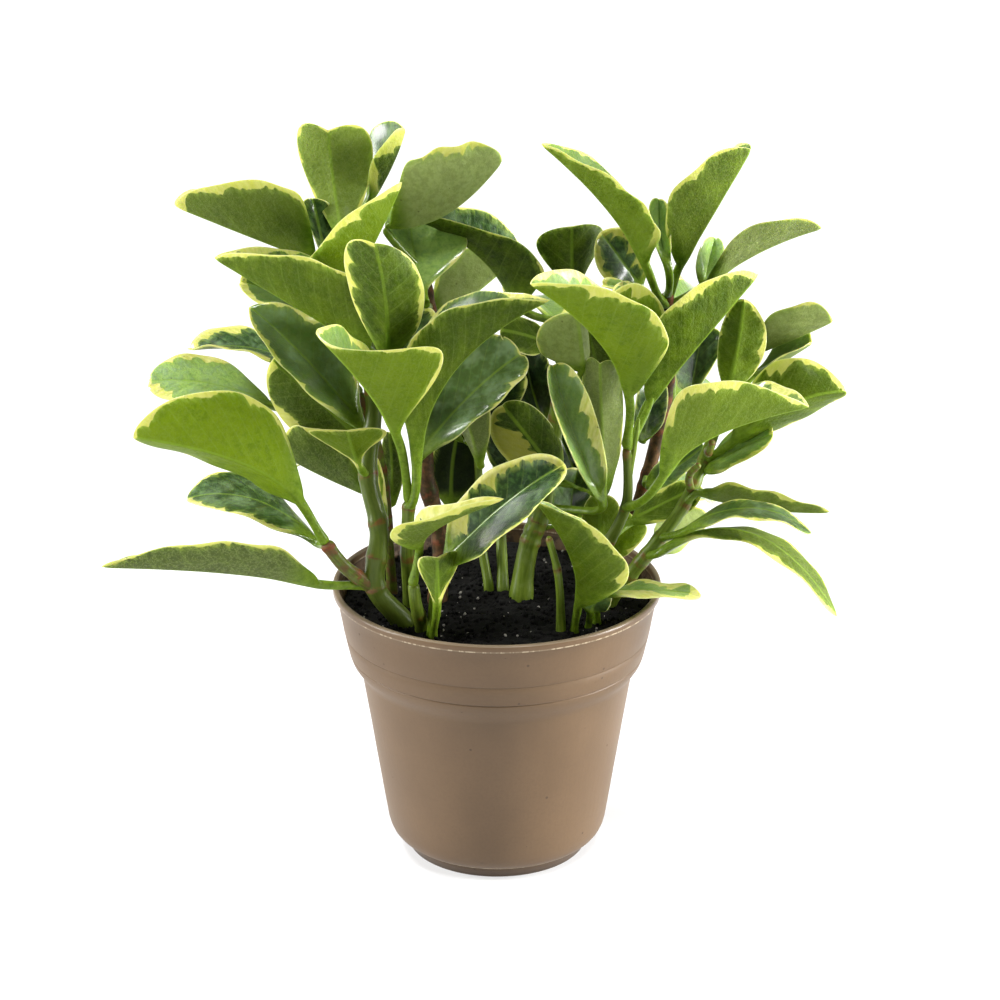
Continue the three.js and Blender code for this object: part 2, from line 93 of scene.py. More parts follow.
def rgb(red, green, blue):  # a colour as a picture shows it, 0 to 255, turned into light
    def light(value):
        value /= 255
        return value / 12.92 if value <= 0.04045 else ((value + 0.055) / 1.055) ** 2.4

    return (light(red), light(green), light(blue), 1)


class Wire:  # a socket that can be used in sums, which add Math nodes
    def __init__(self, finish, socket):
        self.finish = finish
        self.socket = socket

    def math(self, operation, *values):
        return self.finish.node("Math", {"operation": operation}, values)

    def __add__(self, other):
        return self.math("ADD", self, other)

    def __radd__(self, other):
        return self.math("ADD", other, self)

    def __sub__(self, other):
        return self.math("SUBTRACT", self, other)

    def __rsub__(self, other):
        return self.math("SUBTRACT", other, self)

    def __mul__(self, other):
        return self.math("MULTIPLY", self, other)

    def __rmul__(self, other):
        return self.math("MULTIPLY", other, self)

    def __abs__(self):
        return self.math("ABSOLUTE", self)


class Finish:  # a material being made
    def __init__(self, name):
        self.material = bpy.data.materials.new(name)
        self.material.use_nodes = True
        self.tree = self.material.node_tree
        self.tree.nodes.clear()

    def node(self, kind, settings=None, values=(), out=0):
        made = self.tree.nodes.new("ShaderNode" + kind)
        for key, value in (settings or {}).items():
            setattr(made, key, value)
        pairs = values.items() if isinstance(values, dict) else enumerate(values)
        for key, value in pairs:
            if isinstance(value, Wire):
                self.tree.links.new(value.socket, made.inputs[key])
            else:
                made.inputs[key].default_value = value
        return Wire(self, made.outputs[out]) if made.outputs else made

    def split(self, vector):
        parts = self.node("SeparateXYZ", None, [vector])
        return [Wire(self, output) for output in parts.socket.node.outputs]

    def join(self, x, y, z):
        return self.node("CombineXYZ", None, [x, y, z])

    def attribute(self, name):
        return self.node("Attribute", {"attribute_name": name}, out=1)

    def place(self):  # the point of the piece, in mm
        point = self.node("TexCoord", out=3)
        return self.node("VectorMath", {"operation": "SCALE"}, {0: point, 3: 1000})

    def stretch(self, vector, scale):
        return self.node("VectorMath", {"operation": "MULTIPLY"}, [vector, scale])

    def noise(self, vector, scale, detail=2, rough=0.5):
        values = {"Vector": vector, "Scale": scale, "Detail": detail, "Roughness": rough}
        return self.node("TexNoise", None, values)

    def cells(self, vector, scale):  # how far it is to the nearest of some scattered points
        return self.node("TexVoronoi", None, {"Vector": vector, "Scale": scale})

    def step(self, value, low, high, start=0, end=1):  # a soft step from low to high
        settings = {"interpolation_type": "SMOOTHSTEP"}
        return self.node("MapRange", settings, [value, low, high, start, end])

    def blend(self, share, under, over):
        return self.node("Mix", {"data_type": "RGBA"}, {0: share, 6: under, 7: over}, out=2)

    def bump(self, height, strength, distance):
        return self.node("Bump", None, {"Strength": strength, "Distance": distance, "Height": height})

    def surface(self, values):
        shader = self.node("BsdfPrincipled", None, values)
        self.node("OutputMaterial", None, {"Surface": shader})
        return self.material


def finishPiece(name, shape, material, slot, *replaced, subdivide=0):  # replaced: the CAD nodes it stands for
    mesh = bpy.data.meshes.new(name)
    shape.to_mesh(mesh)
    shape.free()
    mesh.materials.append(material)
    mesh.shade_smooth()
    piece = bpy.data.objects.new(name, mesh)
    bpy.context.scene.collection.objects.link(piece)
    if subdivide:
        layer = piece.modifiers.new("smooth", "SUBSURF")
        layer.levels = layer.render_levels = subdivide
    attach(piece, "root")
    if replaced:
        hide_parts(*replaced)
    return piece


def faceOut(shape):  # turns the faces of a closed shape outwards
    bmesh.ops.recalc_face_normals(shape, faces=shape.faces)
    if shape.calc_volume(signed=True) < 0:
        bmesh.ops.reverse_faces(shape, faces=shape.faces)


# A closed tube: form(station, turn) gives a point of its skin and the values of its attribute layers
def sweep(rings, around, form, layers):
    shape = bmesh.new()
    bmesh.ops.create_grid(shape, x_segments=rings, y_segments=around, size=0.5)
    handles = [shape.verts.layers.float_vector.new(layer) for layer in layers]
    for vertex in shape.verts:
        point, values = form(vertex.co.x + 0.5, (vertex.co.y + 0.5) * 2 * math.pi)
        vertex.co = point
        for handle, value in zip(handles, values):
            vertex[handle] = value
    bmesh.ops.remove_doubles(shape, verts=shape.verts, dist=1e-6)
    bmesh.ops.holes_fill(shape, edges=shape.edges, sides=around + 2)
    faceOut(shape)
    return shape


def spinProfile(points, sides):  # turns a closed section of (radius, height) round the pot's axis
    shape = bmesh.new()
    chain = [shape.verts.new((radius, 0, height)) for radius, height in points]
    for first, second in zip(chain, chain[1:]):
        shape.edges.new((first, second))
    bmesh.ops.spin(
        shape, geom=shape.verts[:] + shape.edges[:], cent=(0, 0, 0), axis=up,
        angle=2 * math.pi, steps=sides, use_merge=True,
    )
    bmesh.ops.remove_doubles(shape, verts=shape.verts, dist=1e-6)
    faceOut(shape)
    return shape


pot = {
    "height": 103.8 * mm,
    "wall": 1.1 * mm,
    "foot": 33 * mm,
    "floor": 1.6 * mm,
    "drainHoles": 6,
    "drainRadius": 3.5 * mm,
    "drainCircle": 25 * mm,
    "sides": 192,
    "unevenness": 0.16 * mm,
    "waveSize": 34,  # waves in a metre
}

# The outside of the wall from the foot up, in mm: foot ring, rounded heel, tapered body, stepped collar
potOutside = [
    (33, 0), (33.3, 0), (34.6, 3.4), (34.8, 4), (35.4, 4.1), (35.9, 4.3), (36.0, 4.7),
    (37.2, 5.2), (38.4, 6.1), (39.4, 7.4), (40.2, 9.2), (40.8, 11.4), (42.3, 21), (43.85, 31),
    (45.4, 41), (46.9, 51), (48.5, 61), (49.8, 69), (50.1, 70.2), (50.9, 71.7), (52.3, 73.5),
    (53.4, 75.2), (54.0, 76.8), (54.3, 77.8), (54.3, 78.0), (53.95, 78.3), (54.5, 78.6), (54.6, 78.9),
    (55.4, 82.6), (56.05, 85.6), (55.8, 86.0), (56.15, 86.3), (56.3, 86.7), (57.2, 92), (58.1, 97),
    (58.8, 100.9), (58.95, 101.1), (59.7, 101.15), (59.95, 101.25), (60, 101.45), (60, 103.0),
    (59.9, 103.45), (59.65, 103.7), (59.3, 103.8),
]


def makePot():
    wall, floor = pot["wall"] / mm, pot["floor"] / mm
    inside = [(radius - wall, height) for radius, height in potOutside if 6 < height < 101]
    lip = [(58.3, 103.8), (58.05, 103.65), (57.9, 103.2)]
    section = [(0, 0), (32.5, 0)] + potOutside + lip + inside[::-1]
    section += [(34, floor + 1.4), (33, floor), (0, floor)]
    shape = spinProfile([(radius * mm, height * mm) for radius, height in section], pot["sides"])
    for vertex in shape.verts:
        radius = math.hypot(vertex.co.x, vertex.co.y)
        if radius < pot["foot"] or vertex.co.z < 6 * mm:
            continue
        hold = 1 - 0.8 * smooth(98 * mm, pot["height"], vertex.co.z)
        wave = noise.noise(Vector((vertex.co.x, vertex.co.y, vertex.co.z * 0.5)) * pot["waveSize"])
        inward = pot["unevenness"] * hold * (wave - 1) * 0.5
        vertex.co.x *= 1 + inward / radius
        vertex.co.y *= 1 + inward / radius
    drill(finishPiece("potShell", shape, makePotPlastic(), "pot_plastic", "pot"))


def drill(piece):  # the drain holes
    drills = bmesh.new()
    for count in range(pot["drainHoles"]):
        turn = (count + 0.5) / pot["drainHoles"] * 2 * math.pi
        middle = Vector((math.cos(turn), math.sin(turn), 0)) * pot["drainCircle"]
        bmesh.ops.create_cone(
            drills, cap_ends=True, segments=32, radius1=pot["drainRadius"], radius2=pot["drainRadius"],
            depth=4 * pot["floor"], matrix=Matrix.Translation(middle),
        )
    cutterMesh = bpy.data.meshes.new("drainDrills")
    drills.to_mesh(cutterMesh)
    drills.free()
    cutter = bpy.data.objects.new("drainDrills", cutterMesh)
    bpy.context.scene.collection.objects.link(cutter)
    cut = piece.modifiers.new("drain", "BOOLEAN")
    cut.object = cutter
    cut.solver = "EXACT"
    bpy.context.view_layer.update()
    drilled = bpy.data.meshes.new_from_object(piece.evaluated_get(bpy.context.evaluated_depsgraph_get()))
    piece.modifiers.clear()
    piece.data = drilled
    drilled.shade_smooth()
    bpy.data.objects.remove(cutter)


def makePotPlastic():
    f = Finish("pot plastic")
    place = f.place()
    x, y, z = f.split(place)
    cloud = f.noise(place, 0.035, 3)
    fine = f.noise(place, 0.9, 2)
    grain = f.noise(f.stretch(place, (1, 1, 0.15)), 0.5, 2)
    plain = f.blend(f.step(cloud, 0.3, 0.7), rgb(98, 77, 54), rgb(105, 83, 59))
    plain = f.blend(f.step(fine, 0.35, 0.75) * 0.25, plain, rgb(90, 71, 51))
    specks = f.cells(place, 0.16)
    speckSize = f.noise(place, 0.3, 0)
    dots = f.step(specks, 0.1, 0.06) * f.step(speckSize, 0.56, 0.62)
    scuffs = f.step(f.noise(f.stretch(place, (0.3, 0.3, 1.2)), 0.35, 4, 0.7), 0.66, 0.74)
    low = f.step(z, 34, 6)
    plain = f.blend(scuffs * low * 0.5, plain, rgb(80, 63, 46))
    plain = f.blend(dots * 0.75, plain, rgb(70, 55, 44))
    dust = f.step(f.noise(place, 0.5, 4, 0.65), 0.6, 0.75) * f.step(z, 12, 4)
    plain = f.blend(dust * 0.6, plain, rgb(95, 78, 64))
    inner = f.step(f.node("VectorMath", {"operation": "LENGTH"}, [f.join(x, y, 0)], out=1), 57.8, 57.4)
    inner = inner * f.step(z, 95, 97)
    earth = inner * f.step(f.noise(place, 0.3, 4, 0.65), 0.4, 0.62) * f.step(z, 103.5, 99)
    plain = f.blend(earth * 0.8, plain, rgb(48, 38, 31))
    # painted highlight: broken pale glints along the lower edge of the lip and the lower edge of the body,
    # where light catches those edges
    broken = f.step(f.noise(f.stretch(place, (1, 1, 0.1)), 0.55, 4, 0.7), 0.5, 0.58)
    edgeGlint = f.step(abs(z - 101.5), 0.4, 0.1) + f.step(abs(z - 5.3), 0.45, 0.1)
    # painted shade: the foot ring under the heel is painted darker, where the body shades it
    plain = f.blend(f.step(z, 4.3, 4.0) * 0.5, plain, rgb(62, 49, 37))
    # painted shadow: a dark line just under the lip, where the lip shades the wall
    plain = f.blend(f.step(abs(z - 100.9), 0.4, 0.1) * 0.6, plain, rgb(48, 37, 27))
    # painted sheen: the top of the rim is painted paler grey, where light from above falls on it
    plain = f.blend(f.step(z, 103.2, 103.6) * 0.5, plain, rgb(136, 124, 106))
    plain = f.blend(edgeGlint * (0.15 + broken * 0.45), plain, rgb(206, 190, 160))
    height = fine * 0.4 + grain * 0.6
    return f.surface({
        "Base Color": plain,
        "Roughness": 0.4 + 0.1 * cloud + 0.2 * dots + 0.4 * earth - 0.15 * f.step(z, 101, 102),
        "Normal": f.bump(height, 0.12, 0.0004),
        "Specular IOR Level": 0.35,
    })


makePot()
print("pot made")


soilBed = {
    "level": 97 * mm,
    "radius": 55.9 * mm,
    "rings": 56,
    "sides": 160,
    "relief": 1.5 * mm,
    "grit": 0.5 * mm,
    "crumbs": 1500,
    "perlite": 90,
}


def soilHeight(x, y):
    spot = Vector((x, y, 0))
    rough = noise.fractal(spot * 90, 0.8, 2.1, 4)
    fine = noise.fractal(spot * 420, 0.8, 2.1, 3)
    return soilBed["level"] - 0.7 * mm + soilBed["relief"] * rough + soilBed["grit"] * fine


def makeSoil():
    edge = soilBed["radius"] / mm
    level = soilBed["level"] / mm
    rings = soilBed["rings"]
    top = [(edge * (ring / rings), level) for ring in range(rings + 1)]
    side = [(55.7, 92), (52.6, 77), (48.4, 69), (39.6, 12), (33, 2.1), (0, 2.1)]
    shape = spinProfile([(radius * mm, height * mm) for radius, height in top + side], soilBed["sides"])
    for vertex in shape.verts:
        if vertex.co.z > soilBed["level"] - 0.1 * mm:
            vertex.co.z = soilHeight(vertex.co.x, vertex.co.y)
    finishPiece("soilBed", shape, peat, "peat", "soil")


def scatter(name, count, sizes, material, seed, shown):  # grains of a size in mm, and the share that shows
    draw = random.Random(seed)
    shape = bmesh.new()
    for _ in range(count):
        turn = draw.uniform(0, 2 * math.pi)
        reach = soilBed["radius"] * 0.985 * math.sqrt(draw.random())
        size = draw.uniform(*sizes) * mm
        x, y = reach * math.cos(turn), reach * math.sin(turn)
        middle = Vector((x, y, soilHeight(x, y) + size * (shown - 0.5)))
        tumble = Matrix.Rotation(
            draw.uniform(0, 6), 4, Vector((draw.random(), draw.random(), 0.3)).normalized()
        )
        grow = Matrix.Diagonal((size * draw.uniform(0.7, 1.3), size, size * draw.uniform(0.5, 0.9), 1))
        made = bmesh.ops.create_icosphere(shape, subdivisions=1, radius=0.5)
        for vertex in made["verts"]:
            vertex.co *= draw.uniform(0.75, 1.2)
        bmesh.ops.transform(shape, matrix=Matrix.Translation(middle) @ tumble @ grow, verts=made["verts"])
    finishPiece(name, shape, material, "peat")


def makePeat():
    f = Finish("peat")
    place = f.place()
    clods = f.noise(place, 0.35, 5, 0.7)
    fine = f.noise(place, 2.2, 4, 0.7)
    colour = f.blend(f.step(clods, 0.3, 0.7), rgb(5, 5, 4), rgb(15, 13, 10))
    colour = f.blend(f.step(fine, 0.6, 0.8) * 0.4, colour, rgb(38, 32, 25))
    return f.surface({
        "Base Color": colour,
        "Roughness": 0.95,
        "Normal": f.bump(fine * 0.6 + clods, 0.9, 0.0009),
        "Specular IOR Level": 0.25,
    })


def makePerlite():
    f = Finish("perlite")
    speckle = f.noise(f.place(), 2.5, 2)
    colour = f.blend(speckle, rgb(96, 92, 84), rgb(180, 176, 166))
    return f.surface({"Base Color": colour, "Roughness": 0.9, "Normal": f.bump(speckle, 0.5, 0.0003)})


peat = makePeat()
makeSoil()
scatter("soilCrumbs", soilBed["crumbs"], (0.7, 2.6), peat, 5, 0.65)
scatter("perliteGrains", soilBed["perlite"], (0.4, 1.5), makePerlite(), 9, 0.8)
print("soil made")


# Each stem's radius at the foot and the end in mm, where it starts, and the picture points that it
# passes through, each with its depth in mm behind the pot's axis
stems = {
    "stem_left": {"radius": (4.1, 2.6), "soil": (402, 622), "through": [
        (376, 588, -24), (379, 531, -20), (368, 475, -12), (374, 405, -4), (366, 345, 2), (350, 290, 8)]},
    "stem_side": {"radius": (2.6, 2.4), "from": ("stem_left", 0.16), "through": [
        (345, 567, -27), (324, 541, -28)]},
    "stem_brown": {"radius": (2, 1.6), "soil": (392, 592), "through": [
        (388, 535, 4), (385, 490, 8), (376, 440, 14), (358, 390, 20)]},
    "stem_front": {"radius": (2.4, 2.3), "soil": (410, 604), "through": [(407, 550, -20), (409, 500, -24)]},
    "stem_small": {"radius": (2.5, 2.1), "soil": (422, 628), "through": [(416, 605, -36), (413, 582, -38)]},
    "stem_dark": {"radius": (3.6, 2.4), "soil": (438, 598), "through": [
        (441, 540, 2), (426, 475, 6), (428, 405, 10), (432, 340, 14), (424, 275, 18)]},
    "stem_centre": {"radius": (4.4, 2.6), "soil": (521, 596), "through": [
        (528, 549, 6), (541, 510, 8), (551, 450, 12), (562, 390, 18), (572, 325, 24)]},
    "stem_slim": {"radius": (2.1, 1.8), "soil": (503, 589), "through": [
        (501, 537, 22), (498, 485, 26), (496, 430, 32)]},
    "stem_right": {"radius": (3, 1.5), "soil": (592, 590), "through": [
        (606, 548, -6), (626, 506, -12), (627, 445, -16)]},
    "stem_rear": {"radius": (2.9, 2.1), "soil": (611, 575), "through": [
        (640, 500, 22), (655, 447, 24), (668, 380, 20), (669, 330, 14), (667, 292, 10)]},
    "stem_outer": {"radius": (3, 2), "soil": (607, 606), "through": [
        (630, 575, -10), (652, 548, -12), (684, 505, -6), (704, 460, 2), (722, 410, 6)]},
    "stemRed": {"radius": (1.8, 1.2), "soil": (561, 629), "through": [(558, 573, -30), (548, 535, -28)]},
    "stemSlender": {"radius": (1.8, 1.5), "soil": (489, 588), "through": [
        (482, 547, 16), (479, 490, 18), (478, 450, 20)]},
    "budFork": {"radius": (1.1, 0.5), "from": ("stem_right", 0.8), "through": [
        (637, 432, -16), (639, 418, -16)]},
    "budHigh": {"radius": (1.4, 1.1), "from": ("stem_outer", 0.84), "through": [
        (709, 452, -14), (713, 440, -16)]},
    "budLow": {"radius": (1.4, 1), "from": ("stem_outer", 0.66), "through": [
        (690, 474, -16), (700, 464, -20)]},
}

# Each stem's age, from green 0 to brown bark 1, the shares of its length where old leaves fell off, and how
# much painted shade darkens its green, from 0 to 1, for stems that stand in shade
stemLooks = {
    "stem_left": (0.12, (0.26, 0.36, 0.5), 0.7), "stem_side": (0.55, (0.3,), 0.3),
    "stem_brown": (0.55, (0.3, 0.6), 0.3), "stem_front": (0.25, (0.45,), 0.4),
    "stem_small": (0.3, (0.3,), 0.3), "stem_dark": (0.75, (0.2, 0.35, 0.6), 0.5),
    "stem_centre": (0.05, (0.24,), 0), "stem_slim": (0.1, (0.4,), 0), "stem_right": (0.05, (0.3,), 0.6),
    "stem_rear": (0.8, (0.25, 0.45), 0.5), "stem_outer": (0.05, (0.2,), 0.1),
    "stemRed": (0.1, (0.55, 0.95), 0), "stemSlender": (0.1, (0.5,), 0), "budFork": (0, (0.3,), 0),
    "budHigh": (0.5, (0.3, 0.5, 0.7, 0.9), 0), "budLow": (0.5, (0.3, 0.5, 0.75, 0.95), 0),
}

stemShape = {
    "rootDepth": 7 * mm,
    "around": 20,
    "ringGap": 1.3 * mm,
    "nodeSwell": 0.16,
    "nodeReach": 1.5 * mm,
    "nodeTilt": 0.6,  # mm
    "lumps": 0.06,
    "footSwell": (0.14, 8 * mm),  # share and reach
}


class Route:  # a smooth curve through points, each stretch as long as its points lie apart
    def __init__(self, points):
        before = points[0] * 2 - points[1]
        after = points[-1] * 2 - points[-2]
        self.points = [before, *points, after]
        self.spans = len(points) - 1
        self.length = sum((b - a).length for a, b in zip(points, points[1:]))

    def point(self, share):
        place = min(max(share, 0), 1) * self.spans
        span = min(int(place), self.spans - 1)
        weight = place - span
        a, b, c, d = self.points[span:span + 4]
        first, middle, last = (math.sqrt((q - p).length) for p, q in ((a, b), (b, c), (c, d)))
        leave = ((b - a) / first - (c - a) / (first + middle) + (c - b) / middle) * middle
        arrive = ((c - b) / middle - (d - b) / (middle + last) + (d - c) / last) * middle
        square = weight * weight
        cube = square * weight
        return (
            b * (2 * cube - 3 * square + 1) + c * (3 * square - 2 * cube)
            + leave * (cube - 2 * square + weight) + arrive * (cube - square)
        )

    def tangent(self, share):
        low, high = max(share - 0.002, 0), min(share + 0.002, 1)
        return (self.point(high) - self.point(low)).normalized()


def squareTo(along, wish):  # two directions square to a path's own
    side = (wish - along * along.dot(wish)).normalized()
    return side, along.cross(side)


def onStem(name, share):  # the middle of a stem and its direction, at a share of its length above the soil
    route, buried = laid[name]
    share = mix(buried, 1, share)
    return route.point(share), route.tangent(share)


def layStem(stem):  # its route, and the share of it that is buried
    through = [at(point) for point in stem["through"]]
    if "from" in stem:
        return Route([onStem(*stem["from"])[0], *through]), 0
    foot = onSoil(stem["soil"])
    return Route([foot - up * stemShape["rootDepth"], foot, *through]), 1 / (len(through) + 1)


laid = {}
for name, stem in stems.items():
    laid[name] = layStem(stem)


def makeStem(name, leafNodes, seed):
    route, buried = laid[name]
    thick, thin = [value * mm for value in stems[name]["radius"]]
    age, scars, shade = stemLooks[name]
    places = [mix(buried, 1, share) * route.length for share in (*scars, *leafNodes)]
    draw = random.Random(seed)
    tilts = [draw.uniform(-stemShape["nodeTilt"], stemShape["nodeTilt"]) * mm for _ in places]
    dome = thin / route.length
    rings = int(route.length / stemShape["ringGap"])
    footSwell, footReach = stemShape["footSwell"]

    def form(station, turn):
        along = station * route.length
        side, other = squareTo(route.tangent(station), Vector((1, 0, 0)))
        ends = math.sqrt(max(1 - max((station - 1 + dome) / dome, 0) ** 2, 0))
        nearest = min(abs(along - place - tilt * math.cos(turn)) for place, tilt in zip(places, tilts))
        swell = 1 + stemShape["nodeSwell"] * math.exp(-(nearest / stemShape["nodeReach"]) ** 2)
        spot = Vector((math.cos(turn) * 0.4 + seed, math.sin(turn) * 0.4, along * 60))
        lumps = 1 + stemShape["lumps"] * noise.noise(spot)
        lumps += footSwell * smooth(footReach, 0, abs(along - buried * route.length))
        size = mix(thick, thin, station) * swell * lumps * ends
        point = route.point(station) + side * (math.cos(turn) * size) + other * (math.sin(turn) * size)
        return point, [(along / mm, turn, nearest / mm), (seed, age, shade)]

    shape = sweep(rings, stemShape["around"], form, ["stemPlace", "stemKind"])
    slot = "woody_stem" if name in ("stem_dark", "stem_rear") else "green_stem"
    replaced = [name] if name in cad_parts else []
    finishPiece(name + "_skin", shape, stemSkin, slot, *replaced, subdivide=1)


def makeStemSkin():
    f = Finish("stem skin")
    along, turn, nearest = f.split(f.attribute("stemPlace"))
    seed, age, shade = f.split(f.attribute("stemKind"))
    place = f.place()
    streak = f.noise(f.join(turn * 2.2, along * 0.06, seed), 1.6, 3)
    blotch = f.noise(place, 0.28, 3, 0.6)
    speck = f.noise(f.stretch(place, (1, 1, 0.5)), 1.5, 3, 0.6)
    green = f.blend(f.step(streak, 0.3, 0.7), rgb(84, 106, 20), rgb(116, 136, 42))
    green = f.blend(f.step(blotch, 0.45, 0.7) * 0.45, green, rgb(126, 144, 66))
    # painted shade: the green is darkened by the stem's shade value
    green = f.blend(shade, green, rgb(52, 64, 10))
    bark = f.blend(f.step(blotch, 0.35, 0.7), rgb(52, 38, 20), rgb(98, 72, 42))
    aged = f.step(age + (blotch - 0.5) * 0.9, 0.38, 0.72)
    colour = f.blend(aged, green, bark)
    freckles = f.step(speck, 0.6, 0.7) * f.step(age, 0.02, 0.5)
    colour = f.blend(freckles * 0.6, colour, rgb(120, 62, 38))
    ring = f.step(nearest, 1.5, 0.4) * f.step(blotch, 0.42, 0.6)
    scar = f.step(nearest, 0.5, 0.2) * f.step(speck, 0.3, 0.55)
    colour = f.blend(ring * 0.6, colour, rgb(122, 58, 34))
    colour = f.blend(scar * 0.7, colour, rgb(86, 52, 30))
    rough = f.step(aged, 0, 1, 0.44, 0.62)
    return f.surface({
        "Base Color": colour,
        "Roughness": rough,
        "Normal": f.bump(streak * 0.05 + speck * 0.05, 1, mm),
        "Coat Weight": 0.18 - 0.18 * aged,
        "Coat Roughness": 0.24,
        "Specular IOR Level": 0.2,
        "Subsurface Weight": 0.12,
        "Subsurface Radius": (0.6, 1, 0.2),
        "Subsurface Scale": 0.001,
    })
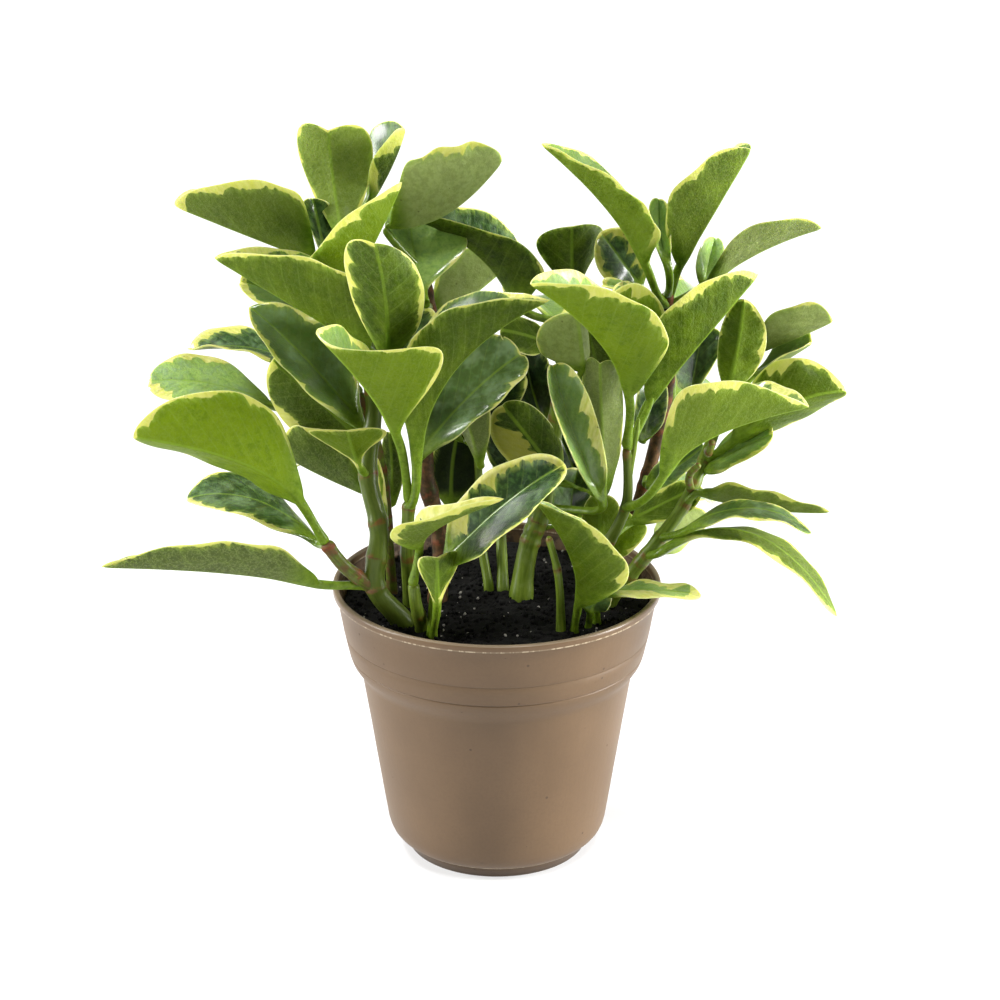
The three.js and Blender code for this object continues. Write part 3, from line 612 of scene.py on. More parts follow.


# What carries it and where; the base, middle and tip of the midrib; the widest place of the near margin,
# and the face that shows there; the angle between the halves, or the far margin's widest place; the share
# of its length where it is widest; how blunt its tip is, and its cream margin's width in mm, each for both
# halves or as a (near, far) pair; and its tone, from pale -1 over dark 1 to nearly black 2, which paints both
# the leaf's own green and painted light and shade: leaves in shadow are painted darker, down to nearly black,
# and lit ones paler; alone or in a pair with how grey it is, from 0 to 1, which paints a dusty grey on the
# underside and a painted pale sheen on the upper face
leafRows = {
    "leaf_left_1": ("stem_left", 0.97, (314, 258, 6), (262, 240, 2), (175, 206, -4), (285, 184, -10),
        "under", 100, 0.36, 0.65, 2.7, (0.3, 0.3)),
    "leaf_left_2": ("stem_left", 0.72, (368, 348, -12), (300, 308, -16), (214, 258, -18), (352, 273, -28),
        "under", (330, 262, -2), 0.38, 0.75, 1.5, (0.35, 0)),
    "leaf_left_3": ("stem_left", 1, (342, 240, 8), (334, 185, 19), (328, 130, 19), (373, 147, 26),
        "under", (297, 144, 26), 0.68, 0.4, 0.9, (0, 0.35)),
    "leaf_left_4": ("stem_left", 0.93, (368, 200, 26), (390, 166, 24), (405, 129, 22), (377, 152, 16),
        "under", (370, 134, 36), 0.55, 0.6, (3.4, 0.8), (0.8, 0.3)),
    "leaf_dark_1": ("stem_dark", 1, (391, 224, 14), (446, 213, 12), (502, 161, 6), (424, 152, 2),
        "under", (432, 158, 26), 0.4, 0.6, (1.3, 1.4), (-1, 1)),
    "leaf_left_5": ("stem_left", 0.9, (352, 276, -4), (374, 240, -9), (402, 182, -7), (308, 257, -22),
        "under", (335, 250, 8), 0.36, 0.65, (3, 1.6), 0),
    "leaf_left_6": ("stem_left", 0.7, (388, 358, -26), (386, 300, -36), (374, 243, -38), (424, 288, -30),
        "under", (345, 270, -30), 0.6, 0.45, 1.6, (0.7, 0)),
    "leaf_dark_2": ("stem_dark", 0.9, (424, 298, 4), (415, 258, 18), (408, 212, 32), (468, 240, 22),
        "top", (384, 218, 24), 0.78, 0.5, 1.3, (-1, 0)),
    "leaf_centre_1": ("stem_centre", 1, (517, 302, 28), (470, 247, 28), (401, 215, 22), (540, 258, 18),
        "under", (512, 228, 38), 0.32, 0.75, (0.5, 0.4), 0.9),
    "leaf_dark_3": ("stem_dark", 0.8, (432, 322, 30), (466, 299, 36), (503, 270, 40), (452, 256, 40),
        "under", (458, 262, 52), 0.5, 0.5, 0.8, (-0.3, 1)),
    "leaf_left_7": ("stem_left", 0.6, (361, 426, -2), (306, 360, 2), (249, 307, 6), (290, 374, -12),
        "top", 140, 0.5, 0.7, (1.6, 1.2), (0.2, 0.5)),
    "leaf_brown_1": ("stem_brown", 0.97, (312, 376, 44), (258, 350, 50), (190, 350, 50), (246, 326, 62),
        "top", 145, 0.5, 0.55, 2, (0.9, 0.6)),
    "leaf_brown_2": ("stem_brown", 0.9, (268, 404, 18), (208, 384, 14), (149, 382, 8), (205, 354, 28),
        "top", (196, 404, 0), 0.5, 0.5, 1.6, (-1, 1)),
    "leaf_side_1": ("stem_side", 1, (299, 500, -30), (240, 461, -36), (133, 437, -38), (252, 396, -30),
        "under", (234, 472, -20), 0.42, 0.6, (1.6, 1.1), (-0.4, 0)),
    "leaf_brown_3": ("stem_brown", 0.8, (362, 440, 12), (318, 400, 10), (272, 360, 10), (292, 430, 16),
        "under", (334, 368, 20), 0.5, 0.55, (3.2, 0.8), (0.6, 0.2)),
    "leaf_left_8": ("stem_left", 0.5, (362, 470, -18), (354, 452, -24), (347, 430, -30), (387, 430, -26),
        "under", (308, 432, -28), 0.85, 0.5, 0.9, 0.1),
    "leaf_front_1": ("stem_front", 1, (397, 436, -32), (366, 388, -42), (316, 334, -52), (443, 351, -48),
        "under", (372, 352, -28), 0.4, (3, 0.6), (1.5, 1.6), (-0.1, 0)),
    "leaf_front_2": ("stem_front", 0.93, (416, 468, -28), (452, 372, -32), (550, 300, -28), (411, 338, -36),
        "under", (428, 320, -12), 0.42, 1.0, (0.8, 0.8), 0.6),
    "leaf_dark_4": ("stem_dark", 0.5, (418, 458, -8), (466, 400, 0), (521, 354, 6), (505, 396, -8),
        "top", (462, 346, 12), 0.6, 0.55, 1.1, (0.5, 0.6)),
    "leaf_soil_1": ("soil", (432, 634), (446, 564, -38), (500, 509, -44), (565, 464, -46), (478, 478, -40),
        "top", (512, 528, -62), 0.5, 0.5, (3.6, 1), (1.3, 0)),
    "leaf_small_1": ("stem_small", 1, (419, 546, -44), (440, 525, -52), (504, 499, -60), (391, 531, -56),
        "under", (414, 514, -46), 0.3, 0.7, (2.4, 6), (0.4, 0.3)),
    "leaf_side_2": ("stem_side", 0.9, (314, 540, -20), (254, 500, -12), (187, 499, -6), (246, 474, 6),
        "top", (242, 516, -26), 0.5, 0.6, (1.1, 1.4), (0.8, 0.5)),
    "leaf_left_9": ("stem_left", 0.17, (316, 583, -30), (222, 571, -40), (101, 567, -48), (250, 541, -46),
        "under", (242, 547, -20), 0.42, 0.7, (0.9, 0.9), (1.1, 0.9)),
    "leaf_centre_2": ("stem_centre", 0.4, (602, 500, -14), (576, 440, -16), (553, 365, -14), (594, 410, -22),
        "top", (557, 418, -24), 0.6, 0.45, (2.2, 0.9), (-0.1, 0.2)),
    "leaf_centre_3": ("stem_centre", 0.5, (606, 488, 0), (602, 430, 0), (600, 363, 2), (623, 400, 8),
        "under", (582, 392, 8), 0.62, 0.4, 0.4, (0.2, 1)),
    "leaf_centre_4": ("stem_centre", 0.8, (582, 370, 8), (580, 340, 4), (575, 312, 2), (536, 341, 8),
        "under", (588, 334, 10), 0.5, 0.5, 0.5, (-0.6, 0.8)),
    "leaf_centre_5": ("stem_centre", 1, (574, 298, 20), (572, 262, 18), (572, 226, 20), (604, 234, 28),
        "under", (536, 244, 28), 0.8, 0.4, 0.4, 0.8),
    "leaf_soil_2": ("soil", (574, 629), (579, 604, -32), (571, 555, -40), (536, 502, -46), (628, 567, -48),
        "under", (602, 548, -24), 0.38, 0.7, (1.2, 1.8), 0.4),
    "leaf_soil_3": ("soil", (597, 621), (606, 594, -26), (650, 591, -32), (701, 596, -38), (652, 597, -42),
        "top", (655, 580, -22), 0.5, 0.45, (6, 5), (-0.4, 0)),
    "leaf_right_1": ("stem_right", 1, (629, 394, -26), (597, 337, -36), (530, 284, -44), (662, 320, -44),
        "under", (606, 291, -18), 0.4, 0.7, (1.8, 1.4), (-0.1, 0)),
    "leaf_right_2": ("stem_right", 0.94, (650, 400, -6), (697, 345, -10), (758, 275, -4), (663, 314, -16),
        "under", 110, 0.42, 0.65, 1.6, (0.6, 0)),
    "leaf_rear_1": ("stem_rear", 0.93, (645, 262, 0), (604, 203, -2), (541, 144, -6), (648, 209, -10),
        "under", (619, 181, 12), 0.42, 0.8, (1.1, 1), (0, 0.1)),
    "leaf_rear_2": ("stem_rear", 0.96, (680, 264, 11), (711, 215, 4), (751, 149, -2), (673, 190, -4),
        "under", 100, 0.5, 0.65, 1.3, (0.35, 0.2)),
    "leaf_rear_3": ("stem_rear", 0.92, (709, 281, 10), (760, 250, 6), (822, 228, 0), (750, 226, -4),
        "under", (757, 236, 16), 0.45, 0.7, (1.2, 1.3), (-0.1, 1)),
    "leaf_outer_1": ("stem_outer", 1, (750, 352, 16), (792, 338, 10), (833, 321, 2), (790, 303, 0),
        "under", (794, 312, 18), 0.55, 0.65, (1.2, 1.5), (-1, 0.9)),
    "leaf_outer_2": ("stem_outer", 0.93, (728, 392, 0), (738, 345, 1), (744, 299, -1), (766, 345, 3),
        "under", (719, 336, 4), 0.55, 0.6, (2, 0.8), (0.35, 0)),
    "leaf_outer_3": ("stem_outer", 0.8, (735, 440, -4), (788, 404, -12), (846, 391, -10), (776, 361, -2),
        "under", (806, 416, 0), 0.45, 0.75, (2.4, 1), (0.4, 0)),
    "leaf_right_3": ("stem_right", 0.66, (664, 474, -34), (714, 435, -38), (809, 407, -34), (686, 387, -46),
        "under", (736, 388, -22), 0.38, 0.85, (1.8, 2), (0.15, 0.1)),
    "leaf_rear_4": ("stem_rear", 0.5, (690, 395, 26), (697, 358, 26), (703, 328, 26), (722, 345, 20),
        "top", (676, 368, 20), 0.6, 0.6, 0.5, 0.9),
    "leaf_outer_4": ("stem_outer", 0.6, (702, 492, -8), (762, 507, -12), (830, 512, -18), (745, 484, -16),
        "under", (752, 490, 4), 0.4, 0.75, (1, 0.8), (0.2, 0.4)),
    "leaf_outer_5": ("stem_outer", 0.45, (690, 528, -22), (752, 509, -31), (812, 533, -37), (750, 518, -43),
        "top", (750, 499, -23), 0.5, 0.55, (1.2, 1), (0.6, 0.4)),
    "leaf_outer_6": ("stem_outer", 0.35, (664, 551, -18), (755, 537, -24), (837, 617, -28), (772, 557, -34),
        "top", (786, 541, -14), 0.62, 0.7, 0.8, (0.5, 0.4)),
    "leaf_dark_5": ("stem_dark", 0.7, (410, 385, 30), (375, 372, 56), (335, 380, 84), (345, 372, 50),
        "top", 140, 0.55, 0.6, 1.8, 0.2),
    "leaf_dark_6": ("stem_dark", 0.95, (414, 292, 38), (412, 272, 60), (408, 268, 84), (380, 268, 62),
        "top", 140, 0.55, 0.6, 1.6, 0.1),
    "leaf_centre_6": ("stem_centre", 0.6, (560, 420, 36), (566, 398, 62), (570, 400, 90), (600, 395, 66),
        "top", 140, 0.55, 0.6, 1.8, 0.1),
    "leaf_slim_1": ("stem_slim", 0.97, (490, 408, 44), (478, 388, 62), (462, 380, 84), (506, 384, 70),
        "top", 140, 0.55, 0.6, 1.5, 0.1),
    "leaf_rear_5": ("stem_rear", 0.6, (678, 405, 46), (700, 390, 68), (726, 398, 92), (726, 398, 60),
        "top", 140, 0.55, 0.6, 1.7, 0.1),
    "shadeLeft": ("stem_left", 0.98, (325, 256, 12), (318, 224, 14), (312, 198, 14), (303, 210, 12),
        "top", (334, 212, 16), 0.7, 0.5, 0.6, 1.3),
    "backLeft": ("stem_brown", 0.99, (330, 330, 24), (290, 300, 20), (240, 282, 16), (275, 312, 8),
        "top", 140, 0.5, 0.6, 2, 0.1),
    "lowLeft": ("stem_brown", 0.35, (370, 492, 6), (330, 478, 6), (284, 455, 8), (320, 428, 2),
        "under", (326, 440, 22), 0.5, 0.5, (1, 0.8), (0.8, 0.5)),
    "sproutDark": ("stemSlender", 0.97, (480, 462, 4), (473, 435, 5), (462, 408, 6), (490, 406, 6),
        "under", 120, 0.6, 0.5, 0.8, (0.3, 1)),
    "shadeDark": ("stem_dark", 0.25, (452, 507, 14), (452, 470, 18), (458, 432, 22), (482, 465, 20),
        "top", (430, 465, 20), 0.5, 0.5, 0.4, 2),
    "shadeCentre": ("stem_centre", 0.85, (548, 345, 22), (525, 336, 18), (500, 330, 12), (522, 317, 22),
        "top", (520, 353, 14), 0.5, 0.5, 0.4, 0.7),
    "behindRight": ("stem_right", 0.98, (652, 376, -6), (636, 332, -6), (612, 294, -8), (660, 300, -10),
        "under", (640, 296, 10), 0.5, 0.6, 2.4, -0.2),
    "sliverRear": ("stem_rear", 0.85, (640, 300, 2), (628, 290, 2), (603, 285, 2), (620, 278, 4),
        "top", 150, 0.5, 0.5, 1, -0.6),
    "innerRear": ("stem_rear", 0.98, (667, 263, 4), (660, 232, 6), (659, 199, 6), (671, 220, 0),
        "top", (649, 216, 0), 0.65, 0.5, 0.8, (-1, 0.5)),
    "glossRear": ("stem_rear", 0.9, (704, 286, 12), (708, 262, 18), (715, 238, 24), (699, 252, 14),
        "top", (724, 256, 18), 0.5, 0.6, 0.3, (-1, 0.8)),
    "patchRear": ("stem_rear", 0.93, (640, 288, 20), (622, 262, 20), (600, 232, 22), (645, 240, 22),
        "top", 140, 0.6, 0.5, 3.4, 1.2),
    "sliverOuter": ("stem_outer", 0.97, (758, 372, 14), (785, 358, 12), (812, 343, 10), (790, 350, 2),
        "under", 120, 0.5, 0.7, 1, 0.1),
    "lowOuter": ("stem_outer", 0.7, (705, 470, 0), (740, 450, -4), (773, 434, -8), (742, 462, -14),
        "top", 150, 0.5, 0.5, 1.4, -0.7),
    "lowRight": ("stem_right", 0.4, (634, 521, 2), (662, 506, 0), (699, 486, -2), (682, 515, -6),
        "top", (655, 491, 8), 0.5, 0.5, 1.2, 0.5),
    "greyOuter": ("stem_outer", 0.3, (656, 552, 8), (680, 532, 10), (706, 512, 12), (664, 514, 6),
        "under", (692, 541, 14), 0.5, 0.5, 0.6, (-1, 1)),
    "roundRight": ("stem_right", 0.15, (600, 558, 6), (614, 540, 5), (636, 520, 4), (638, 545, 4),
        "top", (596, 516, 10), 0.5, 0.4, 0.8, -0.6),
    "rearCentre": ("stem_centre", 0.9, (560, 330, 40), (535, 300, 64), (510, 300, 88), (560, 295, 70),
        "top", 140, 0.55, 0.6, 1.6, 0),
    "rearTop": ("stem_rear", 0.9, (672, 320, 32), (690, 296, 54), (700, 295, 80), (715, 302, 52),
        "top", 140, 0.55, 0.6, 1.6, 0),
    "rearBrown": ("stem_brown", 0.5, (366, 470, 30), (330, 455, 52), (290, 470, 76), (305, 462, 44),
        "top", 140, 0.55, 0.6, 1.6, 0.1),
    "rearLow": ("stem_centre", 0.4, (545, 490, 34), (540, 470, 60), (530, 480, 86), (505, 475, 62),
        "top", 140, 0.55, 0.6, 1.6, 0.1),
    "rearOuter": ("stem_rear", 0.3, (650, 500, 40), (680, 488, 62), (712, 500, 86), (700, 500, 52),
        "top", 140, 0.55, 0.6, 1.6, 0.1),
    "cupFront": ("soil", (433, 635), (437, 606, -44), (437, 583, -48), (437, 557, -50), (417, 562, -44),
        "under", (460, 556, -40), 0.8, 0.4, 1, 0.7),
    "tuckFront": ("soil", (588, 625), (591, 612, -28), (595, 602, -29), (605, 588, -30), (584, 600, -32),
        "top", 150, 0.5, 0.5, 0.4, 0.5),
    "midLeft": ("stem_brown", 0.85, (402, 368, 6), (410, 340, 6), (424, 308, 4), (396, 326, 2),
        "top", 150, 0.5, 0.55, 0.8, 0.7),
    "midPale": ("stem_dark", 0.75, (420, 348, -6), (444, 326, -6), (469, 307, -4), (436, 314, -8),
        "under", 130, 0.5, 0.6, 2, (-0.3, 0.6)),
    "shadeStem": ("stem_left", 0.8, (372, 384, 12), (375, 355, 12), (378, 322, 12), (392, 352, 10),
        "top", 150, 0.5, 0.5, 0.4, 1.5),
    "shadeMiddle": ("stem_dark", 0.6, (470, 440, 20), (492, 405, 22), (520, 372, 24), (480, 395, 16),
        "top", (515, 410, 18), 0.5, 0.5, 0.4, 1.6),
    "shadeLower": ("stem_slim", 0.5, (508, 480, 24), (505, 445, 24), (498, 408, 26), (484, 440, 20),
        "top", (528, 445, 20), 0.55, 0.5, 0.5, 1.5),
    "shadeRight": ("stem_centre", 0.35, (570, 520, 20), (572, 495, 20), (578, 468, 22), (550, 490, 14),
        "top", (592, 492, 18), 0.5, 0.5, 0.8, 0.7),
    "shadeRear": ("stem_rear", 0.55, (642, 440, 10), (650, 405, 10), (652, 370, 12), (636, 400, 6),
        "top", (668, 405, 8), 0.5, 0.5, 0.6, 1.2),
    "lowRear": ("stem_rear", 0.3, (648, 486, 16), (676, 468, 14), (704, 446, 12), (680, 478, 8),
        "top", 150, 0.5, 0.5, 0.8, 0.6),
    "fillOlive": ("stem_centre", 0.6, (560, 478, 6), (532, 442, 6), (502, 405, 8), (500, 452, 10),
        "under", (548, 420, 12), 0.5, 0.55, (7, 0.6), 1.1),
    "fillDark": ("stem_centre", 0.75, (545, 425, 30), (532, 388, 30), (524, 345, 32), (506, 380, 26),
        "top", (552, 372, 26), 0.5, 0.5, 0.6, 1.7),
    "gapLeft": ("stem_brown", 0.6, (391, 505, 14), (393, 470, 16), (389, 432, 18), (403, 462, 16),
        "under", (382, 464, 18), 0.5, 0.5, 0.5, (1, 0.2)),
    "gapPale": ("stem_brown", 0.3, (384, 520, 2), (380, 490, 2), (376, 458, 3), (384, 484, 4),
        "under", 120, 0.5, 0.5, 1.2, 0),
    "gapCentre": ("stem_centre", 0.3, (588, 505, 24), (572, 465, 24), (556, 425, 26), (560, 475, 20),
        "top", (592, 450, 22), 0.5, 0.5, 0.5, 1.6),
    "gapUpper": ("stem_centre", 0.7, (602, 380, 26), (593, 345, 26), (585, 312, 28), (610, 345, 24),
        "under", (577, 345, 28), 0.5, 0.5, 0.6, (0.7, 0.6)),
    "fillGreen": ("stem_right", 0.1, (600, 560, 4), (600, 530, 4), (600, 496, 4), (582, 520, 8),
        "under", (622, 520, 8), 0.5, 0.5, 0.5, 0),
}

leafShape = {
    "petiole": (1.4 * mm, 0.008),  # radius of the stalk, and what each metre of the midrib adds
    "stalkRings": 8,
    "bladeRings": 26,
    "around": 32,
    "thickness": (0.62 * mm, 0.4 * mm),  # half of it, at the base and the tip
    "edge": 0.25 * mm,  # half the margin's thickness
    "keel": (1.2 * mm, 1.1 * mm),  # height and width of the ridge under the midrib
    "groove": (0.22 * mm, 0.7 * mm),  # depth and width above the midrib
    "rounding": (0.1, 0.17),
    "roll": 0.5,  # the most in mm that a margin curls under
    "waves": (0.3 * mm, 0.9 * mm),
    "wavelength": (14 * mm, 24 * mm),
    "puckers": (0.35 * mm, 8 * mm),  # height and size
}


def bladeWidth(share, widest, blunt):  # 1 at the widest place
    if share <= 0 or share >= 1:
        return 0
    taper = blunt * widest / (1 - widest)
    full = (share / widest) ** taper * ((1 - share) / (1 - widest)) ** blunt
    return full * mix(1, smooth(-0.05, 0.26, share), 0.6)


class Bezier:  # a midrib or a leaf's stalk
    def __init__(self, *points):
        self.points = points
        steps = [self.point(step / 24) for step in range(25)]
        self.length = sum((b - a).length for a, b in zip(steps, steps[1:]))

    def point(self, share):
        points = self.points
        while len(points) > 1:
            points = [a.lerp(b, share) for a, b in zip(points, points[1:])]
        return points[0]

    def tangent(self, share):
        return (self.point(share + 0.002) - self.point(share - 0.002)).normalized()


def layPetiole(carrier, where, midrib):
    base = midrib.points[0]
    if carrier == "soil":
        start, out = onSoil(where) - up * 3 * mm, up
    else:
        centre, along = onStem(carrier, where)
        out = base - centre
        if where < 1:
            out = (out - along * out.dot(along)).normalized() + along * 0.7
        out.normalize()
        start = centre - out * (1.2 * mm)
    bend = (base - start).length / 3
    return Bezier(start, start + out * bend, base - midrib.tangent(0) * bend, base)


def pair(value, other):  # a pair stays as it is, and a single value gets its partner
    return value if isinstance(value, tuple) else (value, other)


def halves(midrib, margin, face, fold, widest):  # from the midrib to the widest place of each margin
    middle = midrib.point(widest)
    near = at(margin) - middle
    if isinstance(fold, tuple):
        return near, at(fold) - middle
    axis = (midrib.points[2] - midrib.points[0]).normalized()
    outward, upper = squareTo(axis, near)
    facesEye = upper.dot(picture["eye"] - at(margin)) > 0
    if facesEye != (face == "top"):
        upper = -upper
    turn = math.radians(fold)
    reach = near.dot(outward)
    return near, axis * near.dot(axis) + outward * (reach * math.cos(turn)) + upper * (reach * math.sin(turn))


def makeLeaf(name, row, seed):
    carrier, where, base, middle, tip, margin, face, fold, widest, blunt, cream, tone = row
    base, middle, tip = at(base), at(middle), at(tip)
    midrib = Bezier(base, middle * 2 - (base + tip) / 2, tip)
    petiole = layPetiole(carrier, where, midrib)
    near, far = halves(midrib, margin, face, fold, widest)
    across = near - far
    draw = random.Random(seed)
    rounding = draw.uniform(*leafShape["rounding"])
    roll = draw.uniform(0, leafShape["roll"]) * mm
    waves = [(draw.uniform(*leafShape["waves"]), draw.uniform(*leafShape["wavelength"]), draw.uniform(0, 6))
             for _ in range(2)]
    blunts, creams = pair(blunt, blunt), pair(cream, cream)
    tone, greyAndSheen = pair(tone, 0)
    stalkSize = leafShape["petiole"][0] + leafShape["petiole"][1] * midrib.length
    rings = leafShape["stalkRings"] + leafShape["bladeRings"]
    stalkShare = leafShape["stalkRings"] / rings
    puckerHeight, puckerSize = leafShape["puckers"]
    keelHeight, keelWidth = leafShape["keel"]
    grooveDepth, grooveWidth = leafShape["groove"]
    opened = midrib.tangent(widest).cross(across).dot(near.normalized() + far.normalized())
    turned = 1 if opened > 0 else -1  # the leaf folds towards its upper face

    def upperAt(share):
        return midrib.tangent(share).cross(across).normalized() * turned

    def middleOf(share, sideways):  # the blade's middle surface
        half = near if sideways > 0 else far
        reach = abs(sideways)
        width = bladeWidth(share, widest, blunts[sideways <= 0])
        upper = upperAt(share)
        sag = max(half.dot(upper), 0.12 * half.length) * rounding * 4 * reach * (1 - reach)
        height, length, phase = waves[sideways > 0]
        wave = height * reach * reach * math.sin(share * midrib.length / length * 2 * math.pi + phase)
        under = roll * smooth(0.75, 1, reach) ** 2
        hold = min(width * 3, 1)
        spot = Vector((share * midrib.length, width * sideways * half.length, seed * mm)) / puckerSize
        wave += puckerHeight * noise.noise(spot) * min(reach * 4, 1)
        return midrib.point(share) + half * (width * reach) + upper * ((wave - under) * hold - sag * width)

    def stalkForm(share, c, s):
        side, other = squareTo(petiole.tangent(share), across)
        other = other if other.dot(upperAt(0)) > 0 else -other
        size = stalkSize * (mix(1.15, 0.86, smooth(0, 0.3, share)) + 0.14 * smooth(0.4, 1, share))
        flat = 1 if s < 0 else mix(1, 0.72, smooth(0.1, 0.6, share))
        point = petiole.point(share) + side * (c * size) + other * (s * size * flat)
        place = ((share - 1) * petiole.length / mm, c, 2)
        return point, [place, (seed, 0.5 + 0.5 * s, creams[c < 0]), (1, tone, greyAndSheen)]

    def bladeForm(share, c, s):
        sideways = math.copysign(abs(c) ** 1.6, c)
        width = bladeWidth(share, widest, blunts[c <= 0])
        half = near if c > 0 else far
        spread = width * half.length
        blade = smooth(0.02, 0.3, share)  # 0 where the stalk runs into the blade
        full = blade * smooth(1, 0.97, share)
        side, other = squareTo(midrib.tangent(min(share, 0.995)), across)
        other = other if other.dot(upperAt(share)) > 0 else -other
        slope = middleOf(share, min(sideways + 0.04, 1)) - middleOf(share, max(sideways - 0.04, -1))
        normal = slope.cross(midrib.tangent(share))
        if normal.length < 1e-9:
            normal = other
        normal.normalize()
        normal = normal if normal.dot(other) > 0 else -normal
        normal = other.lerp(normal, blade * smooth(0, 4 * mm, spread)).normalized()
        thick = mix(*leafShape["thickness"], share) * math.sqrt(1 - abs(sideways) ** 4)
        fromRib = abs(sideways) * spread
        keel = keelHeight * (1 - share) ** 0.8 * math.exp(-(fromRib / keelWidth) ** 2)
        groove = grooveDepth * math.exp(-(fromRib / grooveWidth) ** 2)
        stalk = stalkSize * (1 - blade)
        lift = thick * full
        lift += stalk * s * 0.72 - groove * full if s >= 0 else stalk * -s + keel * full
        if abs(s) < 1e-6:
            lift = 0
        rim = mix(stalkSize, leafShape["edge"], smooth(0, 0.4, share)) * mix(1, 0.3, share)
        point = middleOf(share, sideways) + side * (c * rim) + normal * math.copysign(lift, s)
        inset = min((spread + rim) * (1 - abs(sideways)), (1 - share) * midrib.length * 1.5)
        upper = 0.5 + 0.5 * max(-1, min(1, s * 8))
        place = (share * midrib.length / mm, sideways * spread / mm, inset / mm)
        return point, [place, (seed, upper, creams[c < 0]), (1 - smooth(0, 0.3, share), tone, greyAndSheen)]

    def form(station, turn):
        c, s = math.cos(turn), math.sin(turn)
        if station <= stalkShare:
            return stalkForm(station / stalkShare, c, s)
        share = (station - stalkShare) / (1 - stalkShare)
        return bladeForm(0.5 - 0.5 * math.cos(math.pi * share), c, s)

    shape = sweep(rings, leafShape["around"], form, ["leafPlace", "leafKind", "leafTone"])
    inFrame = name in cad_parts
    label = name + "_blade" if inFrame else "leaf_" + name
    finishPiece(label, shape, leafFlesh, "leaf_flesh", *([name] if inFrame else []), subdivide=1)


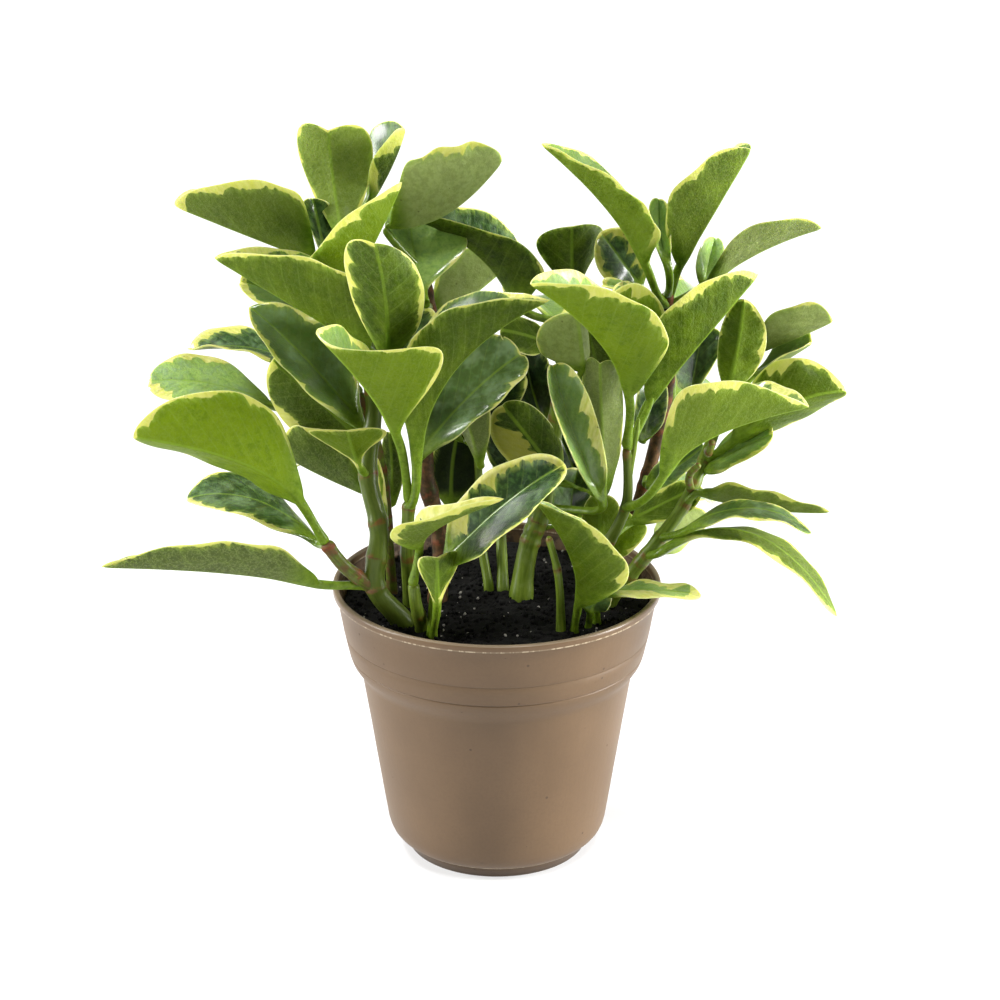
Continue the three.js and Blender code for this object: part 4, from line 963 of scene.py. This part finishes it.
def makeLeafFlesh():
    f = Finish("leaf flesh")
    along, across, inset = f.split(f.attribute("leafPlace"))
    seed, upper, cream = f.split(f.attribute("leafKind"))
    stalk, tone, greyAndSheen = f.split(f.attribute("leafTone"))
    place = f.place()
    reach = abs(across)
    side = f.step(across, -0.01, 0.01)
    vein = along - reach * 0.8  # the same all along one side vein
    edgeway = along - reach * 0.25

    # the cream margin: green lobes bulge into it, and its cusps point to the midrib
    uneven = f.noise(f.join(edgeway * 0.13, side * 9, seed * 5.1), 1, 2)
    lobeSpot = f.join(edgeway * 0.22 + uneven * 2.4, side * 5, seed * 1.7)
    lobes = f.cells(lobeSpot, 1)
    drift = f.noise(f.join(edgeway * 0.06, side * 7, seed * 3.7), 1, 1)
    ragged = f.noise(f.join(vein * 0.45, reach * 0.3, seed), 1, 3, 0.55)
    wide = f.step(drift, 0.32, 0.7)
    cusps = lobes * lobes * (0.4 + 2.2 * wide + f.step(uneven, 0.4, 0.65) * 1.3)
    band = cream * (1.3 * wide + cusps) + (ragged - 0.5) * 1.5 - 0.2
    creamy = f.step(inset - band, 0.3, -0.3)
    halo = f.step(inset - band, 2.6, 0) * f.step(ragged, 0.35, 0.6)
    rimLine = f.step(inset, 0.5, 0.2)
    blades = f.step(stalk, 0.9, 0.2)

    cloud = f.noise(f.join(vein * 0.13, reach * 0.07, seed * 2.3 + side * 3), 1, 4, 0.6)
    fine = f.noise(place, 0.9, 3, 0.6)
    mottle = f.noise(place, 0.4, 4, 0.68)
    coarse = f.noise(place, 0.1, 3, 0.6)
    network = f.step(abs(f.noise(place, 0.55, 4, 0.65) - 0.5), 0.045, 0)
    # painted light and shade: besides the leaf's own green, tone darkens leaves that stand in shadow and
    # pales lit ones; above 1 it paints deep shade
    dark = f.step(tone, -1, 1.1)
    deepShade = f.step(tone, 1, 2)

    topGreen = f.blend(dark, rgb(150, 180, 92), rgb(30, 54, 20))
    topGreen = f.blend(f.step(mottle, 0.42, 0.66) * 0.4, topGreen, rgb(84, 124, 52))
    topGreen = f.blend(f.step(fine, 0.4, 0.75) * 0.25, topGreen, rgb(54, 92, 28))
    # painted sheen: pale patches on the upper face, stronger on grey leaves
    topGreen = f.blend(f.step(coarse, 0.42, 0.7) * (0.2 + greyAndSheen * 0.5), topGreen, rgb(146, 172, 128))
    lowGreen = f.blend(dark, rgb(120, 147, 10), rgb(40, 58, 1))
    lowGreen = f.blend(f.step(mottle, 0.4, 0.66) * 0.42, lowGreen, rgb(62, 90, 1))
    faint = 1 - dark * 0.65
    lowGreen = f.blend(f.step(coarse, 0.44, 0.62) * 0.45 * faint, lowGreen, rgb(112, 134, 14))
    lowGreen = f.blend(f.step(cloud, 0.42, 0.68) * 0.4 * faint, lowGreen, rgb(122, 146, 34))
    dusty = f.blend(dark, rgb(168, 180, 116), rgb(86, 98, 48))
    dusty = f.blend(f.step(mottle, 0.38, 0.62) * 0.35, dusty, rgb(94, 110, 50))
    lowGreen = f.blend(greyAndSheen * 0.8, lowGreen, dusty)
    lowGreen = f.blend(network * (0.12 + greyAndSheen * 0.3), lowGreen, rgb(150, 166, 96))

    veinLine = f.node("Math", {"operation": "PINGPONG"}, [vein + drift * 3, 3.4])
    rib = f.step(reach, 0.8, 0.2)
    veins = f.step(veinLine, 0.5, 0.1) * f.step(reach, 0.5, 2)
    # painted shade: deep-shaded leaves are turned nearly black
    green = f.blend(deepShade * 0.85, f.blend(upper, lowGreen, topGreen), rgb(9, 20, 6))
    green = f.blend(halo * 0.45, green, rgb(156, 178, 72))
    green = f.blend(veins * 0.13 * (1 - deepShade), green, rgb(138, 162, 74))
    green = f.blend(rib * 0.4, green, rgb(136, 168, 50))
    margin = f.blend(f.step(ragged, 0.3, 0.7), rgb(226, 222, 146), rgb(204, 204, 100))
    margin = f.blend((1 - upper) * 0.5, margin, rgb(188, 190, 80))
    # painted shade: on dark, shaded leaves the inner part of a wide cream margin is painted olive
    margin = f.blend(f.step(inset, 0.7, 2) * f.step(tone, 0.6, 1.1) * 0.7, margin, rgb(142, 142, 46))
    colour = f.blend(creamy * blades, green, margin)
    colour = f.blend(rimLine * 0.75 * blades, colour, rgb(216, 220, 150))
    stalkGreen = f.blend(f.step(mottle, 0.3, 0.7), rgb(84, 110, 16), rgb(112, 138, 34))
    stalkGreen = f.blend(f.step(fine, 0.5, 0.7) * 0.3, stalkGreen, rgb(128, 146, 66))
    colour = f.blend(f.step(stalk, 0.05, 0.95), colour, stalkGreen)
    flecks = f.cells(place, 0.12)
    colour = f.blend(f.step(flecks, 0.06, 0.03) * 0.5, colour, rgb(60, 50, 26))

    # heights in mm: the flesh swells between the side veins, with fine pores over it
    swell = f.step(veinLine, 0, 2.2) * f.step(reach, 0.2, 2.5) + f.step(reach, 0, 1)
    pores = f.noise(place, 3.2, 2) * 0.02
    height = swell * upper * 0.13 + cloud * 0.25 + mottle * 0.5 + fine * 0.09 + pores
    return f.surface({
        "Base Color": colour,
        "Roughness": f.step(upper, 0, 1, 0.52, 0.36) + (fine - 0.5) * 0.3,
        "Normal": f.bump(height, 1, mm),
        "Specular IOR Level": 0.1,
        "Coat Weight": upper * (0.75 + greyAndSheen * 0.25) + 0.03,
        "Coat Roughness": 0.16,
        "Subsurface Weight": 0.3,
        "Subsurface Radius": (0.7, 1, 0.1),
        "Subsurface Scale": 0.0018,
    })


stemSkin = makeStemSkin()
leafFlesh = makeLeafFlesh()
for seed, name in enumerate(stems, 1):
    makeStem(name, [where for carrier, where, *_ in leafRows.values() if carrier == name], seed)
print("stems made")
for seed, (name, row) in enumerate(leafRows.items(), 1):
    makeLeaf(name, row, seed)
print("leaves made")


studio = {
    "floor": 240,  # metres across, so that the floor reaches the horizon of the side views
    "floorTint": rgb(168, 168, 168),
    "glow": 0.55,
    "ambient": 0.15,
}


def makeFloor():
    shape = bmesh.new()
    bmesh.ops.create_grid(shape, x_segments=1, y_segments=1, size=studio["floor"] / 2)
    mesh = bpy.data.meshes.new("floor")
    shape.to_mesh(mesh)
    shape.free()
    f = Finish("floor")
    mesh.materials.append(f.surface({
        "Base Color": studio["floorTint"],
        "Roughness": 0.9,
        "Specular IOR Level": 0.1,
        "Emission Color": (1, 1, 1, 1),
        "Emission Strength": studio["glow"],
    }))
    floor = bpy.data.objects.new("floor", mesh)
    bpy.context.scene.collection.objects.link(floor)


def softbox(name, place, size, power, aim=(0, 0, 0.15)):
    light = bpy.data.lights.new(name, "AREA")
    light.shape = "RECTANGLE"
    light.size, light.size_y = size
    light.energy = power
    box = bpy.data.objects.new(name, light)
    box.location = place
    box.rotation_euler = (Vector(aim) - Vector(place)).to_track_quat("-Z", "Y").to_euler()
    bpy.context.scene.collection.objects.link(box)


def sun(name, place, strength, angle):
    light = bpy.data.lights.new(name, "SUN")
    light.energy = strength
    light.angle = math.radians(angle)
    lamp = bpy.data.objects.new(name, light)
    lamp.rotation_euler = Vector(place).to_track_quat("Z", "Y").to_euler()
    bpy.context.scene.collection.objects.link(lamp)


makeFloor()
world = bpy.data.worlds.new("studio")
world.use_nodes = True
background = world.node_tree.nodes["Background"].inputs
background["Color"].default_value = (1, 1, 1, 1)
background["Strength"].default_value = studio["ambient"]
bpy.context.scene.world = world
softbox("left softbox", (-1.3, -0.1, 0.6), (0.5, 0.9), 30)
softbox("right softbox", (1.3, -0.1, 0.45), (0.5, 0.9), 46)
sun("skylight", (-0.5, 0.3, 1), 2.8, 16)
sun("front skylight", (0.2, -0.45, 1), 1.35, 12)
bpy.context.scene.view_settings.view_transform = "Standard"
print("studio lit")
